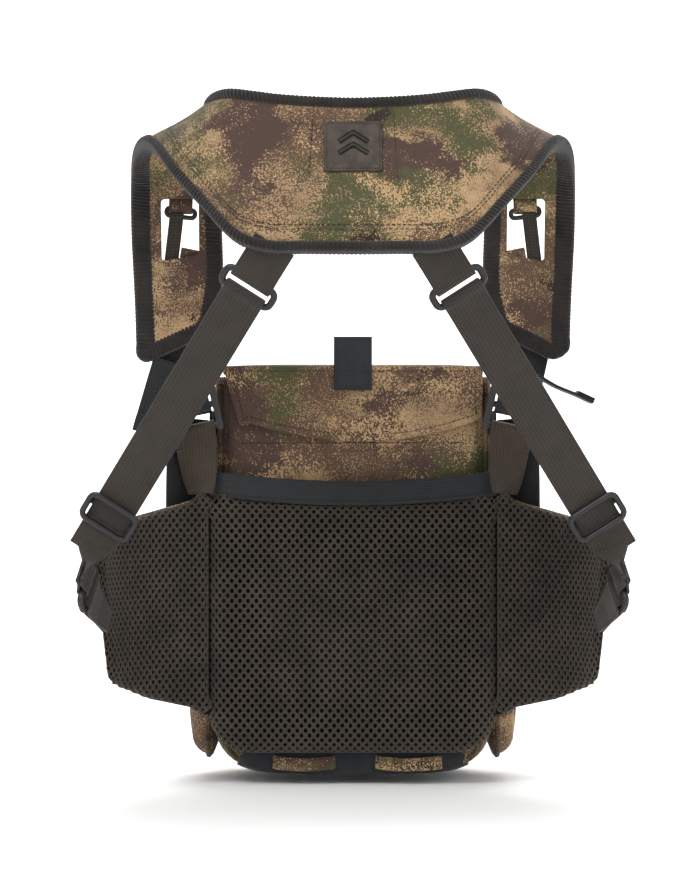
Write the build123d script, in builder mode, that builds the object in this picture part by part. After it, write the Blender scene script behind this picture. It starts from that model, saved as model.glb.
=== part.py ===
"""Binocular harness pack: a chest pack with a padded mesh back, side wings, a shoulder yoke and webbing.

Frame: X to the right, +Y away from the wearer, Z up, millimetres.
Origin: the middle of the back pad's flat face, where the pack rests on the wearer's chest.
Left-hand pieces are drawn (negative X) and mirrored to the right.
"""

import os
from math import cos, radians, sin

from build123d import *

# ---- driving dimensions -------------------------------------------------------------------------
webbing_width = 25.0
webbing_thickness = 1.7
working_gap = 0.3

pad_half_width = 88.5
pad_bottom = -81.0
pad_top = 78.0
pad_thickness = 12.0
pad_corner = 24.0
rim_depth = 6.0
rim_width = 6.0
pad_top_sag = 6.0

band_height = 14.0
band_thickness = 2.4
band_back = 7.0

pack_half_width = 85.5
pack_back = pad_thickness + rim_depth
pack_front = 106.0
pack_bottom = -92.0
pack_top = 150.0
pack_corner = 26.0
pack_edge = 14.0
fabric = 2.0
foam = 4.0
base_thickness = 3.0

side_pocket_depth = 18.0
side_pocket_top = 40.0
side_pocket_bottom = -86.0
side_pocket_back = 30.0
side_pocket_front = 96.0
front_pocket_depth = 13.0
front_pocket_half_width = 60.0
front_pocket_top = 62.0
front_pocket_bottom = -76.0

lid_half_width = 80.0
lid_top = 157.0
skirt_bottom = 117.0
skirt_sag = 7.0
skirt_thickness = 3.0
lid_back = pack_back - 5.0
lid_front = pack_front - 1.0
tab_width = 23.5
tab_bottom = 141.5
tab_top = 174.5
tab_thickness = 2.5
magnet_radius = 7.0
magnet_thickness = 2.0
magnet_height = 127.0

wing_seam_x = -90.2
wing_seam_y = 5.0
wing_radius = 75.0
wing_thickness = 10.0
wing_start_angle = 10.0
wing_top_turn = 75.0
wing_bottom_turn = 56.0

yoke_thickness = 8.0
binding_thickness = 9.0
binding_width = 7.0

ring_length = 35.0
ring_height = 14.5
ring_bar = 4.0
slider_length = 34.0
slider_height = 20.5
slider_bar = 3.6

# ---- where the harness hangs (left-hand side) -----------------------------------------------------
# Stations along the yoke, from the middle of the back, over the shoulder, to the end of the arm:
# each is the outer edge and the neck edge of the panel.
yoke_stations = [
    ((0, -168, 215), (0, -141, 302)),
    ((-25, -168, 215.2), (-20, -140.8, 302.6)),
    ((-47, -168, 215.6), (-40, -140, 304)),
    ((-65, -164, 222), (-56, -135, 306.5)),
    ((-84, -150, 242), (-68, -127, 308.5)),
    ((-99.5, -134, 259), (-76, -112, 307.5)),
    ((-113.5, -105, 277), (-80, -90, 305.5)),
    ((-123, -75, 283), (-82, -62, 300)),
    ((-130, -50, 278), (-82, -38, 286)),
    ((-133, -27, 262), (-80.5, -21, 262)),
    ((-133.5, -16, 235), (-79.5, -14, 233)),
    ((-132.3, -12, 205), (-79.5, -11, 207)),
    ((-130.4, -10, 162), (-84, -10, 184)),
]
window_low = (-116.0, 219.0)
window_high = (-93.0, 256.5)

yoke_exit = Vector(-46, -168, 215.5)
yoke_ring_centre = Vector(-58.3, -158, 196.2)
slider_centre = Vector(-140, -92, 68)
wing_ring_centre = Vector(-154.5, -78, 26)
wing_web_root = Vector(-148.5, -51, 0)

arm_exit = Vector(-108, -7, 170)
lock_centre = Vector(-99, 3.5, 128)
pad_corner_anchor = Vector(-93, 6, 80)
pad_anchor_across = Vector(0.9, -0.43, 0)
side_wall_anchor = Vector(-86.2, 30, 121)
side_anchor_reach = Vector(-87.4, 18, 121)
lower_tail_foot = Vector(-107, 17.5, 62)
lower_tail_across = Vector(0.6, 0.8, 0)
hanging_tail_top = Vector(-108.8, -12, 158)
hanging_tail_length = 46.0
hanging_tail_angle = 16.5
jutting_tail_top = Vector(-111, -20, 150)
jutting_tail_length = 37.0
jutting_tail_angle = 63.0
tail_hem = 10.0

os.makedirs("parts", exist_ok=True)


def save(piece, name):
    """Label one finished piece and write its STEP file."""
    piece.part.label = name
    export_step(piece.part, f"parts/{name}.step")


def save_pair(piece, name):
    """Write a left-hand piece and its mirror image."""
    save(piece, f"left_{name}")
    with BuildPart() as twin:
        mirror(piece.part, about=Plane.YZ)
    save(twin, f"right_{name}")


# ---- shapes that are used more than once ----------------------------------------------------------
def pouch(half_width, back, front, bottom, top, corner, edge):
    """A bag-like block: rounded lower corners seen from behind, rounded upright edges."""
    with BuildPart() as body:
        with BuildSketch(Plane.XY.offset(bottom)):
            with Locations((0, (back + front) / 2)):
                RectangleRounded(2 * half_width, front - back, edge)
        extrude(amount=top - bottom)
        with BuildSketch(Plane.XZ.offset(-back)) as outline:
            with Locations((0, (bottom + top) / 2)):
                Rectangle(2 * half_width, top - bottom)
            fillet(outline.vertices().group_by(Axis.Y)[0], radius=corner)
        extrude(amount=back - front, mode=Mode.INTERSECT)
    return body.part


def band(start, end, width_axis, width, thickness):
    """A straight flat strap from one point to another."""
    with BuildPart() as strap:
        with BuildSketch(Plane(origin=start, x_dir=width_axis, z_dir=end - start)):
            Rectangle(width, thickness)
        extrude(amount=(end - start).length)
    return strap


def turned_band(first, last, pieces=4):
    """A strap that turns as it runs; each end is its centre, width direction and heading."""
    with BuildPart() as strap:
        for i in range(pieces + 1):
            centre, across, heading = [a + (b - a) * (i / pieces) for a, b in zip(first, last)]
            with BuildSketch(Plane(origin=centre, x_dir=across, z_dir=heading)):
                Rectangle(webbing_width, webbing_thickness)
        loft(ruled=True)
    return strap


def free_end(top, foot, top_across, foot_across):
    """A loose strap end: flat webbing with a folded and sewn hem at its foot."""
    run = (foot - top).normalized()
    strap = turned_band((top, top_across, run), (foot, foot_across, run))
    hem = band(foot, foot + run * tail_hem, foot_across, webbing_width, 2 * webbing_thickness)
    with BuildPart() as tail:
        add(strap.part)
        add(hem.part)
    return tail


def webbing_loop(bar, far_end, width_axis):
    """Webbing folded round a bar: an eye at the bar and flat layers running to the far end."""
    eye = ring_bar / 2 + working_gap
    run = far_end - bar
    with BuildPart() as loop:
        with BuildSketch(Plane(origin=bar, x_dir=run, z_dir=width_axis)):
            Circle(eye + webbing_thickness)
            with Locations((run.length / 2, 0)):
                Rectangle(run.length, 2 * webbing_thickness)
            Circle(eye, mode=Mode.SUBTRACT)
        extrude(amount=webbing_width / 2, both=True)
    return loop


def oblong_ring(centre, long_axis, facing):
    """A moulded oblong ring with a round bar."""
    half_long = (ring_length - ring_bar) / 2
    half_short = (ring_height - ring_bar) / 2
    plane = Plane(origin=centre, x_dir=long_axis, z_dir=facing)
    with BuildPart() as ring:
        with BuildLine(plane) as path:
            FilletPolyline(
                (half_long, half_short),
                (half_long, -half_short),
                (-half_long, -half_short),
                (-half_long, half_short),
                radius=ring_bar - 0.5,
                close=True,
            )
        with BuildSketch(Plane(origin=path.line @ 0, z_dir=path.line % 0)):
            Circle(ring_bar / 2)
        sweep(path=path.line)
    return ring


def panel(stations, thickness, left_inset=0, right_inset=0):
    """A padded panel lofted along a run of stations, each a line from one edge to the other."""
    middles = [(near + far) / 2 for near, far in stations]
    with BuildPart() as sheet:
        for i, (near, far) in enumerate(stations):
            across = (far - near).normalized()
            ahead = middles[min(i + 1, len(middles) - 1)] - middles[max(i - 1, 0)]
            ahead = ahead - across * ahead.dot(across)
            start = near + across * left_inset
            end = far - across * right_inset
            with BuildSketch(Plane(origin=(start + end) / 2, x_dir=across, z_dir=ahead)):
                Rectangle((end - start).length, thickness)
        loft(ruled=True)
    return sheet


# ---- pack body ------------------------------------------------------------------------------------
def pack_block(inset):
    """The pack's block, drawn in by an inset on every side but the top."""
    return pouch(
        pack_half_width - inset,
        pack_back + inset,
        pack_front - inset,
        pack_bottom + inset,
        pack_top,
        pack_corner - inset,
        pack_edge - inset,
    )


shell_inner = pack_block(fabric)
liner_outer = pack_block(fabric + 0.1)
liner_inner = pack_block(fabric + 0.1 + foam)

pack_outer = pack_block(0)
with BuildPart() as pack_shell:
    add(pack_outer)
    add(shell_inner, mode=Mode.SUBTRACT)
save(pack_shell, "pack_shell")

wall_magnet_y = pack_back + fabric + 0.1
with BuildPart() as foam_liner:
    add(liner_outer)
    add(liner_inner, mode=Mode.SUBTRACT)
    with BuildSketch(Plane.XZ.offset(-wall_magnet_y)):
        with Locations((0, magnet_height)):
            Circle(magnet_radius + working_gap)
    extrude(amount=-magnet_thickness - working_gap, mode=Mode.SUBTRACT)
save(foam_liner, "foam_liner")

with BuildPart() as wall_magnet:
    with BuildSketch(Plane.XZ.offset(-wall_magnet_y - 0.1)):
        with Locations((0, magnet_height)):
            Circle(magnet_radius)
    extrude(amount=-magnet_thickness)
save(wall_magnet, "wall_magnet")

base_half_width = pack_half_width - pack_corner + 8
with BuildPart() as base_panel:
    with BuildSketch(Plane.XY.offset(pack_bottom - base_thickness)):
        with Locations((0, (pack_back + pack_front) / 2)):
            RectangleRounded(2 * base_half_width, pack_front - pack_back - 4, pack_edge)
    extrude(amount=base_thickness + 6)
    add(pack_outer, mode=Mode.SUBTRACT)
save(base_panel, "base_panel")

loop_centres = (-31.0, 34.0)
loop_half_length = 19.0
with BuildPart() as base_loops:
    with BuildSketch(Plane.XZ.offset(-pack_back + working_gap)):
        for centre in loop_centres:
            with Locations((centre, pack_bottom + 2)):
                RectangleRounded(2 * loop_half_length, 9, 2)
    extrude(amount=4.5)
    with BuildSketch(Plane.XZ.offset(-pack_back + working_gap)):
        for centre in loop_centres:
            with Locations((centre, pack_bottom + 2)):
                Rectangle(2 * loop_half_length - 10, 9)
    extrude(amount=2.6, mode=Mode.SUBTRACT)
save(base_loops, "base_loops")

# ---- pockets --------------------------------------------------------------------------------------
with BuildPart() as front_pocket:
    with BuildSketch(Plane.XZ.offset(-pack_front)) as pocket_outline:
        with Locations((0, (front_pocket_top + front_pocket_bottom) / 2)):
            Rectangle(2 * front_pocket_half_width, front_pocket_top - front_pocket_bottom)
        fillet(pocket_outline.vertices().group_by(Axis.Y)[0], radius=18)
    extrude(amount=-front_pocket_depth)
    fillet(front_pocket.edges().group_by(Axis.Y)[-1].sort_by(Axis.Z)[:-1], radius=5)
    with BuildSketch(Plane.XZ.offset(-pack_front)) as pocket_room:
        with Locations((0, (front_pocket_top + front_pocket_bottom) / 2 + fabric)):
            Rectangle(
                2 * (front_pocket_half_width - fabric),
                front_pocket_top - front_pocket_bottom,
            )
        fillet(pocket_room.vertices().group_by(Axis.Y)[0], radius=16)
    extrude(amount=fabric - front_pocket_depth, mode=Mode.SUBTRACT)
save(front_pocket, "front_pocket")


def side_pocket_block(inset):
    """The side pocket's bulge: deepest at its foot, closing in to the pack's wall at the top."""
    wall = -pack_half_width
    with BuildPart() as bulge:
        with BuildSketch(Plane.XZ.offset(-(side_pocket_back + inset))):
            with BuildLine():
                Polyline(
                    (wall, side_pocket_top),
                    (wall - side_pocket_depth * 0.55 + inset, side_pocket_top),
                )
                Spline(
                    (wall - side_pocket_depth * 0.55 + inset, side_pocket_top),
                    (wall - side_pocket_depth + inset, side_pocket_top - 62),
                    (wall - side_pocket_depth * 0.62 + inset, side_pocket_bottom + 14),
                    (wall, side_pocket_bottom + inset),
                )
                Line((wall, side_pocket_bottom + inset), (wall, side_pocket_top))
            make_face()
        extrude(amount=side_pocket_back - side_pocket_front + 2 * inset)
    return bulge.part


side_pocket_outer = side_pocket_block(0)
side_pocket_room = side_pocket_block(fabric)
with BuildPart() as side_pocket:
    add(side_pocket_outer)
    add(side_pocket_room, mode=Mode.SUBTRACT)
    add(pack_outer, mode=Mode.SUBTRACT)
save_pair(side_pocket, "side_pocket")

# ---- back pad -------------------------------------------------------------------------------------
def pad_slab(inset, back, front):
    """A slab of the pad's outline; an inset slab runs out through the top."""
    with BuildPart() as slab:
        with BuildSketch(Plane.XZ.offset(-back)) as outline:
            with BuildLine():
                left = -pad_half_width + inset
                foot = pad_bottom + inset
                Polyline((left, pad_top), (left, foot), (-left, foot), (-left, pad_top))
                if inset:
                    Line((left, pad_top), (-left, pad_top))
                else:
                    ThreePointArc((left, pad_top), (0, pad_top - pad_top_sag), (-left, pad_top))
            make_face()
            fillet(outline.vertices().group_by(Axis.Y)[0], radius=pad_corner - inset)
        extrude(amount=back - front)
    return slab


pad_front = pad_slab(0, 0, pad_thickness)
pad_rim = pad_slab(0, pad_thickness, pad_thickness + rim_depth)
pad_pocket = pad_slab(rim_width, pad_thickness, pad_thickness + rim_depth)
with BuildPart() as back_pad:
    add(pad_front.part)
    fillet(back_pad.edges().group_by(Axis.Y)[0], radius=4)
    add(pad_rim.part)
    add(pad_pocket.part, mode=Mode.SUBTRACT)
save(back_pad, "back_pad")

with BuildPart() as pocket_band:
    with BuildSketch(Plane.XZ.offset(-band_back)):
        with BuildLine():
            band_left = -pad_half_width + 1.5
            ThreePointArc((band_left, pad_top), (0, pad_top - pad_top_sag), (-band_left, pad_top))
            Line((-band_left, pad_top), (-band_left, pad_top + band_height))
            ThreePointArc(
                (-band_left, pad_top + band_height),
                (0, pad_top + band_height - pad_top_sag),
                (band_left, pad_top + band_height),
            )
            Line((band_left, pad_top + band_height), (band_left, pad_top))
        make_face()
    extrude(amount=-band_thickness)
save(pocket_band, "pocket_band")

# ---- lid ------------------------------------------------------------------------------------------
with BuildPart() as lid_shell:
    with BuildSketch(Plane.XY.offset(lid_top - fabric)):
        with Locations((0, (lid_back + lid_front) / 2)):
            Rectangle(2 * lid_half_width, lid_front - lid_back)
    extrude(amount=fabric)
    with BuildSketch(Plane.XY.offset(pack_top + 0.6)):
        with Locations((0, (lid_back + lid_front) / 2)):
            Rectangle(2 * lid_half_width, lid_front - lid_back)
            Rectangle(
                2 * (lid_half_width - fabric),
                lid_front - lid_back - 2 * fabric,
                mode=Mode.SUBTRACT,
            )
    extrude(amount=lid_top - pack_top - 0.7)
    with BuildSketch(Plane.XZ.offset(-lid_back)):
        with BuildLine():
            Polyline(
                (-lid_half_width + 11, skirt_bottom),
                (-lid_half_width, lid_top),
                (lid_half_width, lid_top),
                (lid_half_width, skirt_bottom + 8),
            )
            ThreePointArc(
                (-lid_half_width + 11, skirt_bottom),
                (8, skirt_bottom - skirt_sag),
                (lid_half_width, skirt_bottom + 8),
            )
        make_face()
    extrude(amount=-skirt_thickness)
    with BuildSketch(Plane.XZ.offset(-lid_back - 1)):
        with Locations((0, magnet_height)):
            Circle(magnet_radius + working_gap)
    extrude(amount=-fabric, mode=Mode.SUBTRACT)
    fillet(lid_shell.edges().filter_by(Axis.X).group_by(Axis.Z)[-1], radius=1.5)
save(lid_shell, "lid_shell")

foam_back = lid_back + skirt_thickness + 0.2
foam_front = lid_front - fabric - 0.2
with BuildPart() as lid_foam:
    with BuildSketch(Plane.XY.offset(pack_top + 1)):
        with Locations((0, (foam_back + foam_front) / 2)):
            Rectangle(2 * (lid_half_width - fabric) - 0.4, foam_front - foam_back)
    extrude(amount=lid_top - fabric - pack_top - 1)
save(lid_foam, "lid_foam")

with BuildPart() as lid_magnet:
    with BuildSketch(Plane.XZ.offset(-lid_back - 1)):
        with Locations((0, magnet_height)):
            Circle(magnet_radius)
    extrude(amount=-magnet_thickness)
save(lid_magnet, "lid_magnet")

tab_fold = lid_top + 1
with BuildPart() as tab_anchor:
    with BuildSketch(Plane.XZ.offset(-lid_back)):
        with Locations((0, (tab_bottom + tab_fold) / 2 - 1)):
            Rectangle(tab_width, tab_fold - tab_bottom - 2)
    extrude(amount=tab_thickness)
save(tab_anchor, "tab_anchor")

with BuildPart() as pull_tab:
    with BuildSketch(Plane.XZ.offset(-lid_back)):
        with Locations((0, (tab_top + tab_fold + 0.4) / 2)):
            Rectangle(tab_width, tab_top - tab_fold - 0.4)
    extrude(amount=tab_thickness)
    fillet(pull_tab.edges().filter_by(Axis.Y).group_by(Axis.Z)[-1], radius=1.5)
save(pull_tab, "pull_tab")

# ---- wings ----------------------------------------------------------------------------------------
wing_centre = Vector(
    wing_seam_x + wing_radius * sin(radians(wing_start_angle)),
    wing_seam_y - wing_radius * cos(radians(wing_start_angle)),
)


def wing_point(along, up):
    """A point on the wing's middle surface: along runs from seam to tip, up from foot to top."""
    turn = wing_bottom_turn + (wing_top_turn - wing_bottom_turn) * up
    angle = radians(wing_start_angle + turn * along)
    foot = -55 + 22 * along
    head = 77 - 23 * along**0.75
    return Vector(
        wing_centre.X - wing_radius * sin(angle),
        wing_centre.Y + wing_radius * cos(angle),
        foot + (head - foot) * up,
    )


wing_stations = [(wing_point(i / 8, 0), wing_point(i / 8, 1)) for i in range(9)]
wing = panel(wing_stations, wing_thickness)
save_pair(wing, "wing")

# ---- yoke -----------------------------------------------------------------------------------------
left_stations = [(Vector(*outer), Vector(*neck)) for outer, neck in yoke_stations]
arm_end = left_stations[-1]
above_end = tuple(
    end + (before - end).normalized() * binding_width
    for before, end in zip(left_stations[-2], arm_end)
)


def flipped(point):
    """The mirror image of a point on the other side of the body."""
    return Vector(-point.X, point.Y, point.Z)


left_run = left_stations[:-1] + [above_end]
right_run = [(flipped(outer), flipped(neck)) for outer, neck in left_run[:0:-1]]
whole_run = right_run + left_run


yoke_core = panel(whole_run, yoke_thickness, binding_width, binding_width)
with BuildPart() as shoulder_yoke:
    add(yoke_core.part)
    for side in (1, -1):
        with BuildSketch(Plane.XZ.offset(45)):
            with Locations(
                (
                    side * (window_low[0] + window_high[0]) / 2,
                    (window_low[1] + window_high[1]) / 2,
                )
            ):
                RectangleRounded(
                    window_high[0] - window_low[0], window_high[1] - window_low[1], 3
                )
        extrude(amount=-55, mode=Mode.SUBTRACT)
save(shoulder_yoke, "shoulder_yoke")

outer_band = [
    (outer, outer + (neck - outer).normalized() * binding_width) for outer, neck in whole_run
]
neck_band = [
    (neck + (outer - neck).normalized() * binding_width, neck) for outer, neck in whole_run
]
outer_binding = panel(outer_band, binding_thickness)
save(outer_binding, "outer_binding")
neck_binding = panel(neck_band, binding_thickness)
save(neck_binding, "neck_binding")
left_hem = panel([above_end, arm_end], binding_thickness)
save_pair(left_hem, "arm_hem")

patch_foot, patch_head = left_stations[0]
patch_up = (patch_head - patch_foot).normalized()
patch_facing = Vector(0, -patch_up.Z, patch_up.Y)
patch_centre = patch_foot + patch_up * 61 + patch_facing * (yoke_thickness / 2 + 0.3)
with BuildPart() as patch:
    with BuildSketch(Plane(origin=patch_centre, x_dir=(1, 0, 0), z_dir=patch_facing)):
        RectangleRounded(32.7, 30, 1.5)
    extrude(amount=1.6)
save(patch, "patch")

# ---- window hardware in the arms --------------------------------------------------------------------
with BuildPart() as window_tab:
    with BuildSketch(Plane.XY.offset(253)):
        with Locations((-104, -18)):
            Rectangle(14, 5)
    extrude(amount=3.4)
    with BuildSketch(Plane.XY.offset(220)):
        with Locations((-99.4, -14)):
            Rectangle(9.6, 4)
    extrude(amount=6)
save_pair(window_tab, "window_tab")

with BuildPart() as window_ring:
    with BuildSketch(Plane(origin=(-104, -18, 248.4), x_dir=(1, 0, -0.12), z_dir=(0, -1, 0))):
        RectangleRounded(19, 6.4, 2.5)
        Rectangle(14, 2, mode=Mode.SUBTRACT)
    extrude(amount=1.5, both=True)
save_pair(window_ring, "window_ring")

window_webbing = band(
    Vector(-106.5, -16.6, 244.2), Vector(-109.9, -14.4, 220), Vector(1, 0, 0), 9, 1.8
)
save_pair(window_webbing, "window_webbing")

# ---- diagonal straps --------------------------------------------------------------------------------
strap_run = (slider_centre - yoke_ring_centre).normalized()
strap_across = Vector(-strap_run.Z, 0, strap_run.X).normalized()
strap_facing = strap_run.cross(strap_across)
bar_reach = (ring_height - ring_bar) / 2

yoke_anchor = webbing_loop(
    yoke_ring_centre - strap_run * bar_reach, yoke_exit - strap_run * 9, strap_across
)
save_pair(yoke_anchor, "yoke_anchor")

yoke_ring = oblong_ring(yoke_ring_centre, strap_across, strap_facing)
save_pair(yoke_ring, "yoke_ring")

diagonal_strap = webbing_loop(
    yoke_ring_centre + strap_run * bar_reach, slider_centre + strap_run * 18, strap_across
)
save_pair(diagonal_strap, "diagonal_strap")

slider_plane = Plane(origin=slider_centre, x_dir=strap_across, z_dir=strap_facing)
strap_clear = webbing_thickness + 0.5
post_width = 3.0
post_x = webbing_width / 2 + 1.1 + post_width / 2
with BuildPart() as slider:
    with BuildSketch(slider_plane.offset(strap_clear)):
        RectangleRounded(slider_length, slider_height, 5)
        RectangleRounded(
            slider_length - 2 * slider_bar, slider_height - 2 * slider_bar, 3, mode=Mode.SUBTRACT
        )
    extrude(amount=3.8)
    with BuildSketch(slider_plane.offset(-strap_clear - 3.6)):
        with Locations((post_x, 0), (-post_x, 0)):
            Rectangle(post_width, 7)
    extrude(amount=2 * strap_clear + 5)
    with BuildSketch(slider_plane.offset(-strap_clear - 3.6)):
        Rectangle(2 * post_x, 6)
    extrude(amount=3.6)
save_pair(slider, "slider")

# ---- wing tips --------------------------------------------------------------------------------------
tip_pull = (wing_ring_centre - wing_web_root).normalized()
tip_facing = Vector(-0.966, 0.26, 0).cross(tip_pull).cross(tip_pull).normalized()
tip_across = tip_pull.cross(tip_facing)

wing_ring = oblong_ring(wing_ring_centre, tip_across, tip_facing)
save_pair(wing_ring, "wing_ring")

tip_loop = webbing_loop(wing_ring_centre - tip_pull * bar_reach, wing_web_root, tip_across)
wing_allowance = panel(wing_stations, wing_thickness + 0.2)
with BuildPart() as wing_webbing:
    add(tip_loop.part)
    add(wing_allowance.part, mode=Mode.SUBTRACT)
save_pair(wing_webbing, "wing_webbing")

tip_bar = wing_ring_centre + tip_pull * bar_reach
strap_foot = slider_centre + strap_run * 30
eye_end = tip_bar + tip_pull * 5
strap_eye = webbing_loop(tip_bar, eye_end, tip_across)
strap_turn = turned_band((strap_foot, strap_across, strap_run), (eye_end, -tip_across, -tip_pull))
with BuildPart() as strap_end:
    add(strap_eye.part)
    add(strap_turn.part)
save_pair(strap_end, "strap_end")

# ---- front straps and ladder locks --------------------------------------------------------------------
front_run = (lock_centre - arm_exit).normalized()
lock_across = Vector(front_run.Z, 0, -front_run.X).normalized()
lock_out = lock_across.cross(-front_run)
lock_plane = Plane(origin=lock_centre, x_dir=lock_across, z_dir=lock_out)
lock_length = 28.0
anchor_bar_y = -11.5
grip_bar_y = 2.5
rail_x = webbing_width / 2 + 3.2

with BuildPart() as ladder_lock:
    with BuildSketch(lock_plane.offset(-2.5)):
        with Locations((rail_x, 0), (-rail_x, 0)):
            RectangleRounded(4, lock_length, 1.9)
    extrude(amount=5)
    with BuildSketch(Plane(origin=lock_plane.origin, x_dir=lock_plane.y_dir, z_dir=lock_across)):
        with Locations((anchor_bar_y, 0), (grip_bar_y, 0)):
            Circle(ring_bar / 2)
        with Locations((lock_length / 2 - 2.4, 0.6)):
            Rectangle(4.4, 3.6)
    extrude(amount=rail_x, both=True)
save_pair(ladder_lock, "ladder_lock")

grip_bar = lock_plane.from_local_coords(Vector(0, grip_bar_y, 0))
anchor_bar = lock_plane.from_local_coords(Vector(0, anchor_bar_y, 0))
bight_radius = ring_bar / 2 + working_gap + webbing_thickness / 2
with BuildPart() as lock_bight:
    with BuildSketch(Plane(origin=grip_bar, x_dir=lock_plane.y_dir, z_dir=lock_across)):
        Circle(bight_radius + webbing_thickness / 2)
        Circle(bight_radius - webbing_thickness / 2, mode=Mode.SUBTRACT)
        with Locations((7, -bight_radius)):
            Rectangle(14, webbing_thickness)
        with Locations((-3, bight_radius)):
            Rectangle(6, webbing_thickness)
    extrude(amount=webbing_width / 2, both=True)
save_pair(lock_bight, "lock_bight")

strap_lane = lock_plane.from_local_coords(Vector(0, grip_bar_y + 16, -bight_radius))
front_strap = band(
    strap_lane, arm_exit - front_run * 2, lock_across, webbing_width, webbing_thickness
)
save_pair(front_strap, "front_strap")

loop_run = (pad_corner_anchor - anchor_bar).normalized()
loop_neck = anchor_bar + loop_run * 7
loop_eye = webbing_loop(anchor_bar, loop_neck, lock_across)
loop_leg = turned_band(
    (loop_neck, -lock_across, loop_run), (pad_corner_anchor, pad_anchor_across, loop_run)
)
with BuildPart() as lock_loop:
    add(loop_eye.part)
    add(loop_leg.part)
save_pair(lock_loop, "lock_loop")

tail_top = lock_plane.from_local_coords(Vector(3, grip_bar_y - 8, 9.5))
lower_tail = free_end(tail_top, lower_tail_foot, -lock_across, lower_tail_across)
save_pair(lower_tail, "lower_tail")

side_anchor = band(side_wall_anchor, side_anchor_reach, Vector(0, 0, 1), 16, webbing_thickness)
save_pair(side_anchor, "side_anchor")


def upper_tail(top, angle, length, across):
    """A free webbing end under the arm's hem, hanging outward at an angle from straight down."""
    run = Vector(-sin(radians(angle)), 0, -cos(radians(angle)))
    return free_end(top, top + run * (length - tail_hem), across, across)


hanging_across = Vector(cos(radians(hanging_tail_angle)), 0, -sin(radians(hanging_tail_angle)))
left_upper_tail = upper_tail(
    hanging_tail_top, hanging_tail_angle, hanging_tail_length, hanging_across
)
save(left_upper_tail, "left_upper_tail")

# The right one is turned edge-on to the wearer and sticks out sideways.
jutting_tail = upper_tail(
    jutting_tail_top, jutting_tail_angle, jutting_tail_length, Vector(0, 1, 0)
)
with BuildPart() as right_upper_tail:
    mirror(jutting_tail.part, about=Plane.YZ)
save(right_upper_tail, "right_upper_tail")
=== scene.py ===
"""Looks of the binocular harness pack: padded mesh, camouflage fabric, webbing and moulded plastic.

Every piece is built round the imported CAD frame. Shapes are worked out in millimetres with the frame's axes:
X to the right, +Y away from the wearer, Z up. They are stored in metres. Left-hand pieces are mirrored.
"""

from math import atan2, cos, pi, radians, sin

import bmesh
import bpy
import numpy as np
from mathutils import Matrix, Vector, noise


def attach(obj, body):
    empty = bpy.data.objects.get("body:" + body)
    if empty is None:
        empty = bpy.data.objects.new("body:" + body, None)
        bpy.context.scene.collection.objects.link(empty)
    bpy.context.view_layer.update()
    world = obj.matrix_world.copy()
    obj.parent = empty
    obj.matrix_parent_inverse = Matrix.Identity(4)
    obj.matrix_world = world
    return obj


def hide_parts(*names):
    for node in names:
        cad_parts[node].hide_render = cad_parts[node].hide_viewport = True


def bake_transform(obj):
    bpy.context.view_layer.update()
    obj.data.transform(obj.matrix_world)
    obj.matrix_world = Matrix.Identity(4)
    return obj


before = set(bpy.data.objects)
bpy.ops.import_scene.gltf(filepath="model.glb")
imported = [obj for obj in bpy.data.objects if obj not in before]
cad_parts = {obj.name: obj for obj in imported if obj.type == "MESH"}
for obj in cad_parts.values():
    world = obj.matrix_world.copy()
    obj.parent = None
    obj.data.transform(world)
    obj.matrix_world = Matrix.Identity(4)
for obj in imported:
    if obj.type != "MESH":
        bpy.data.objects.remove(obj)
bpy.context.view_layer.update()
MM = 0.001
RIGHT, UP = (1, 0, 0), (0, 0, 1)
SIDES = ("left", "right")


# ---- vectors and curves ---------------------------------------------------------------------------
def vec(*values):
    return np.array(values, float)


SIDEWAYS, OUTWARD, UPWARD = vec(1, 0, 0), vec(0, 1, 0), vec(0, 0, 1)
TO_WEARER = -OUTWARD


def unit(v):
    v = np.asarray(v, float)
    return v / np.linalg.norm(v, axis=-1, keepdims=True)


def dots(a, b):
    return (a * b).sum(-1, keepdims=True)


def curve_through(rows, step, closed=False):
    """Rows about a step apart on a smooth curve; columns after the third ride along."""
    rows = np.asarray(rows, float)
    count = len(rows)
    out = []
    for i in range(count if closed else count - 1):
        b, c = rows[i], rows[(i + 1) % count]
        a = rows[i - 1] if i or closed else 2 * b - c
        d = rows[(i + 2) % count] if i + 2 < count or closed else 2 * c - b
        parts = max(1, int(round(np.linalg.norm((c - b)[:3]) / step)))
        for t in np.arange(parts) / parts:
            cubic = (3 * b - a - 3 * c + d) * t**3 + (2 * a - 5 * b + 4 * c - d) * t**2
            out.append(0.5 * (2 * b + (c - a) * t + cubic))
    if not closed:
        out.append(rows[-1])
    return np.array(out)


def densify(outline, step, closed=True):
    """The same outline with its long straight stretches divided."""
    outline = np.asarray(outline, float)
    out = []
    for i in range(len(outline) if closed else len(outline) - 1):
        a, b = outline[i], outline[(i + 1) % len(outline)]
        parts = max(1, int(np.ceil(np.linalg.norm(b - a) / step)))
        out.extend(a + (b - a) * t for t in np.arange(parts) / parts)
    if not closed:
        out.append(outline[-1])
    return np.array(out)


def rounded(corners, parts=8):
    """A closed outline through corners (across, up, radius), each rounded by an arc."""
    out = []
    for k, (x, y, radius) in enumerate(corners):
        here = vec(x, y)
        if radius <= 0:
            out.append(here)
            continue
        back = unit(vec(*corners[k - 1][:2]) - here)
        ahead = unit(vec(*corners[(k + 1) % len(corners)][:2]) - here)
        half = np.arccos(np.clip(back @ ahead, -1, 1)) / 2
        centre = here + unit(back + ahead) * radius / np.sin(half)
        start = here + back * radius / np.tan(half) - centre
        end = here + ahead * radius / np.tan(half) - centre
        turn = pi - 2 * half
        for t in np.linspace(0, 1, parts + 1):
            swing = start * np.sin((1 - t) * turn) + end * np.sin(t * turn)
            out.append(centre + swing / np.sin(turn))
    return np.array(out)


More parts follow.
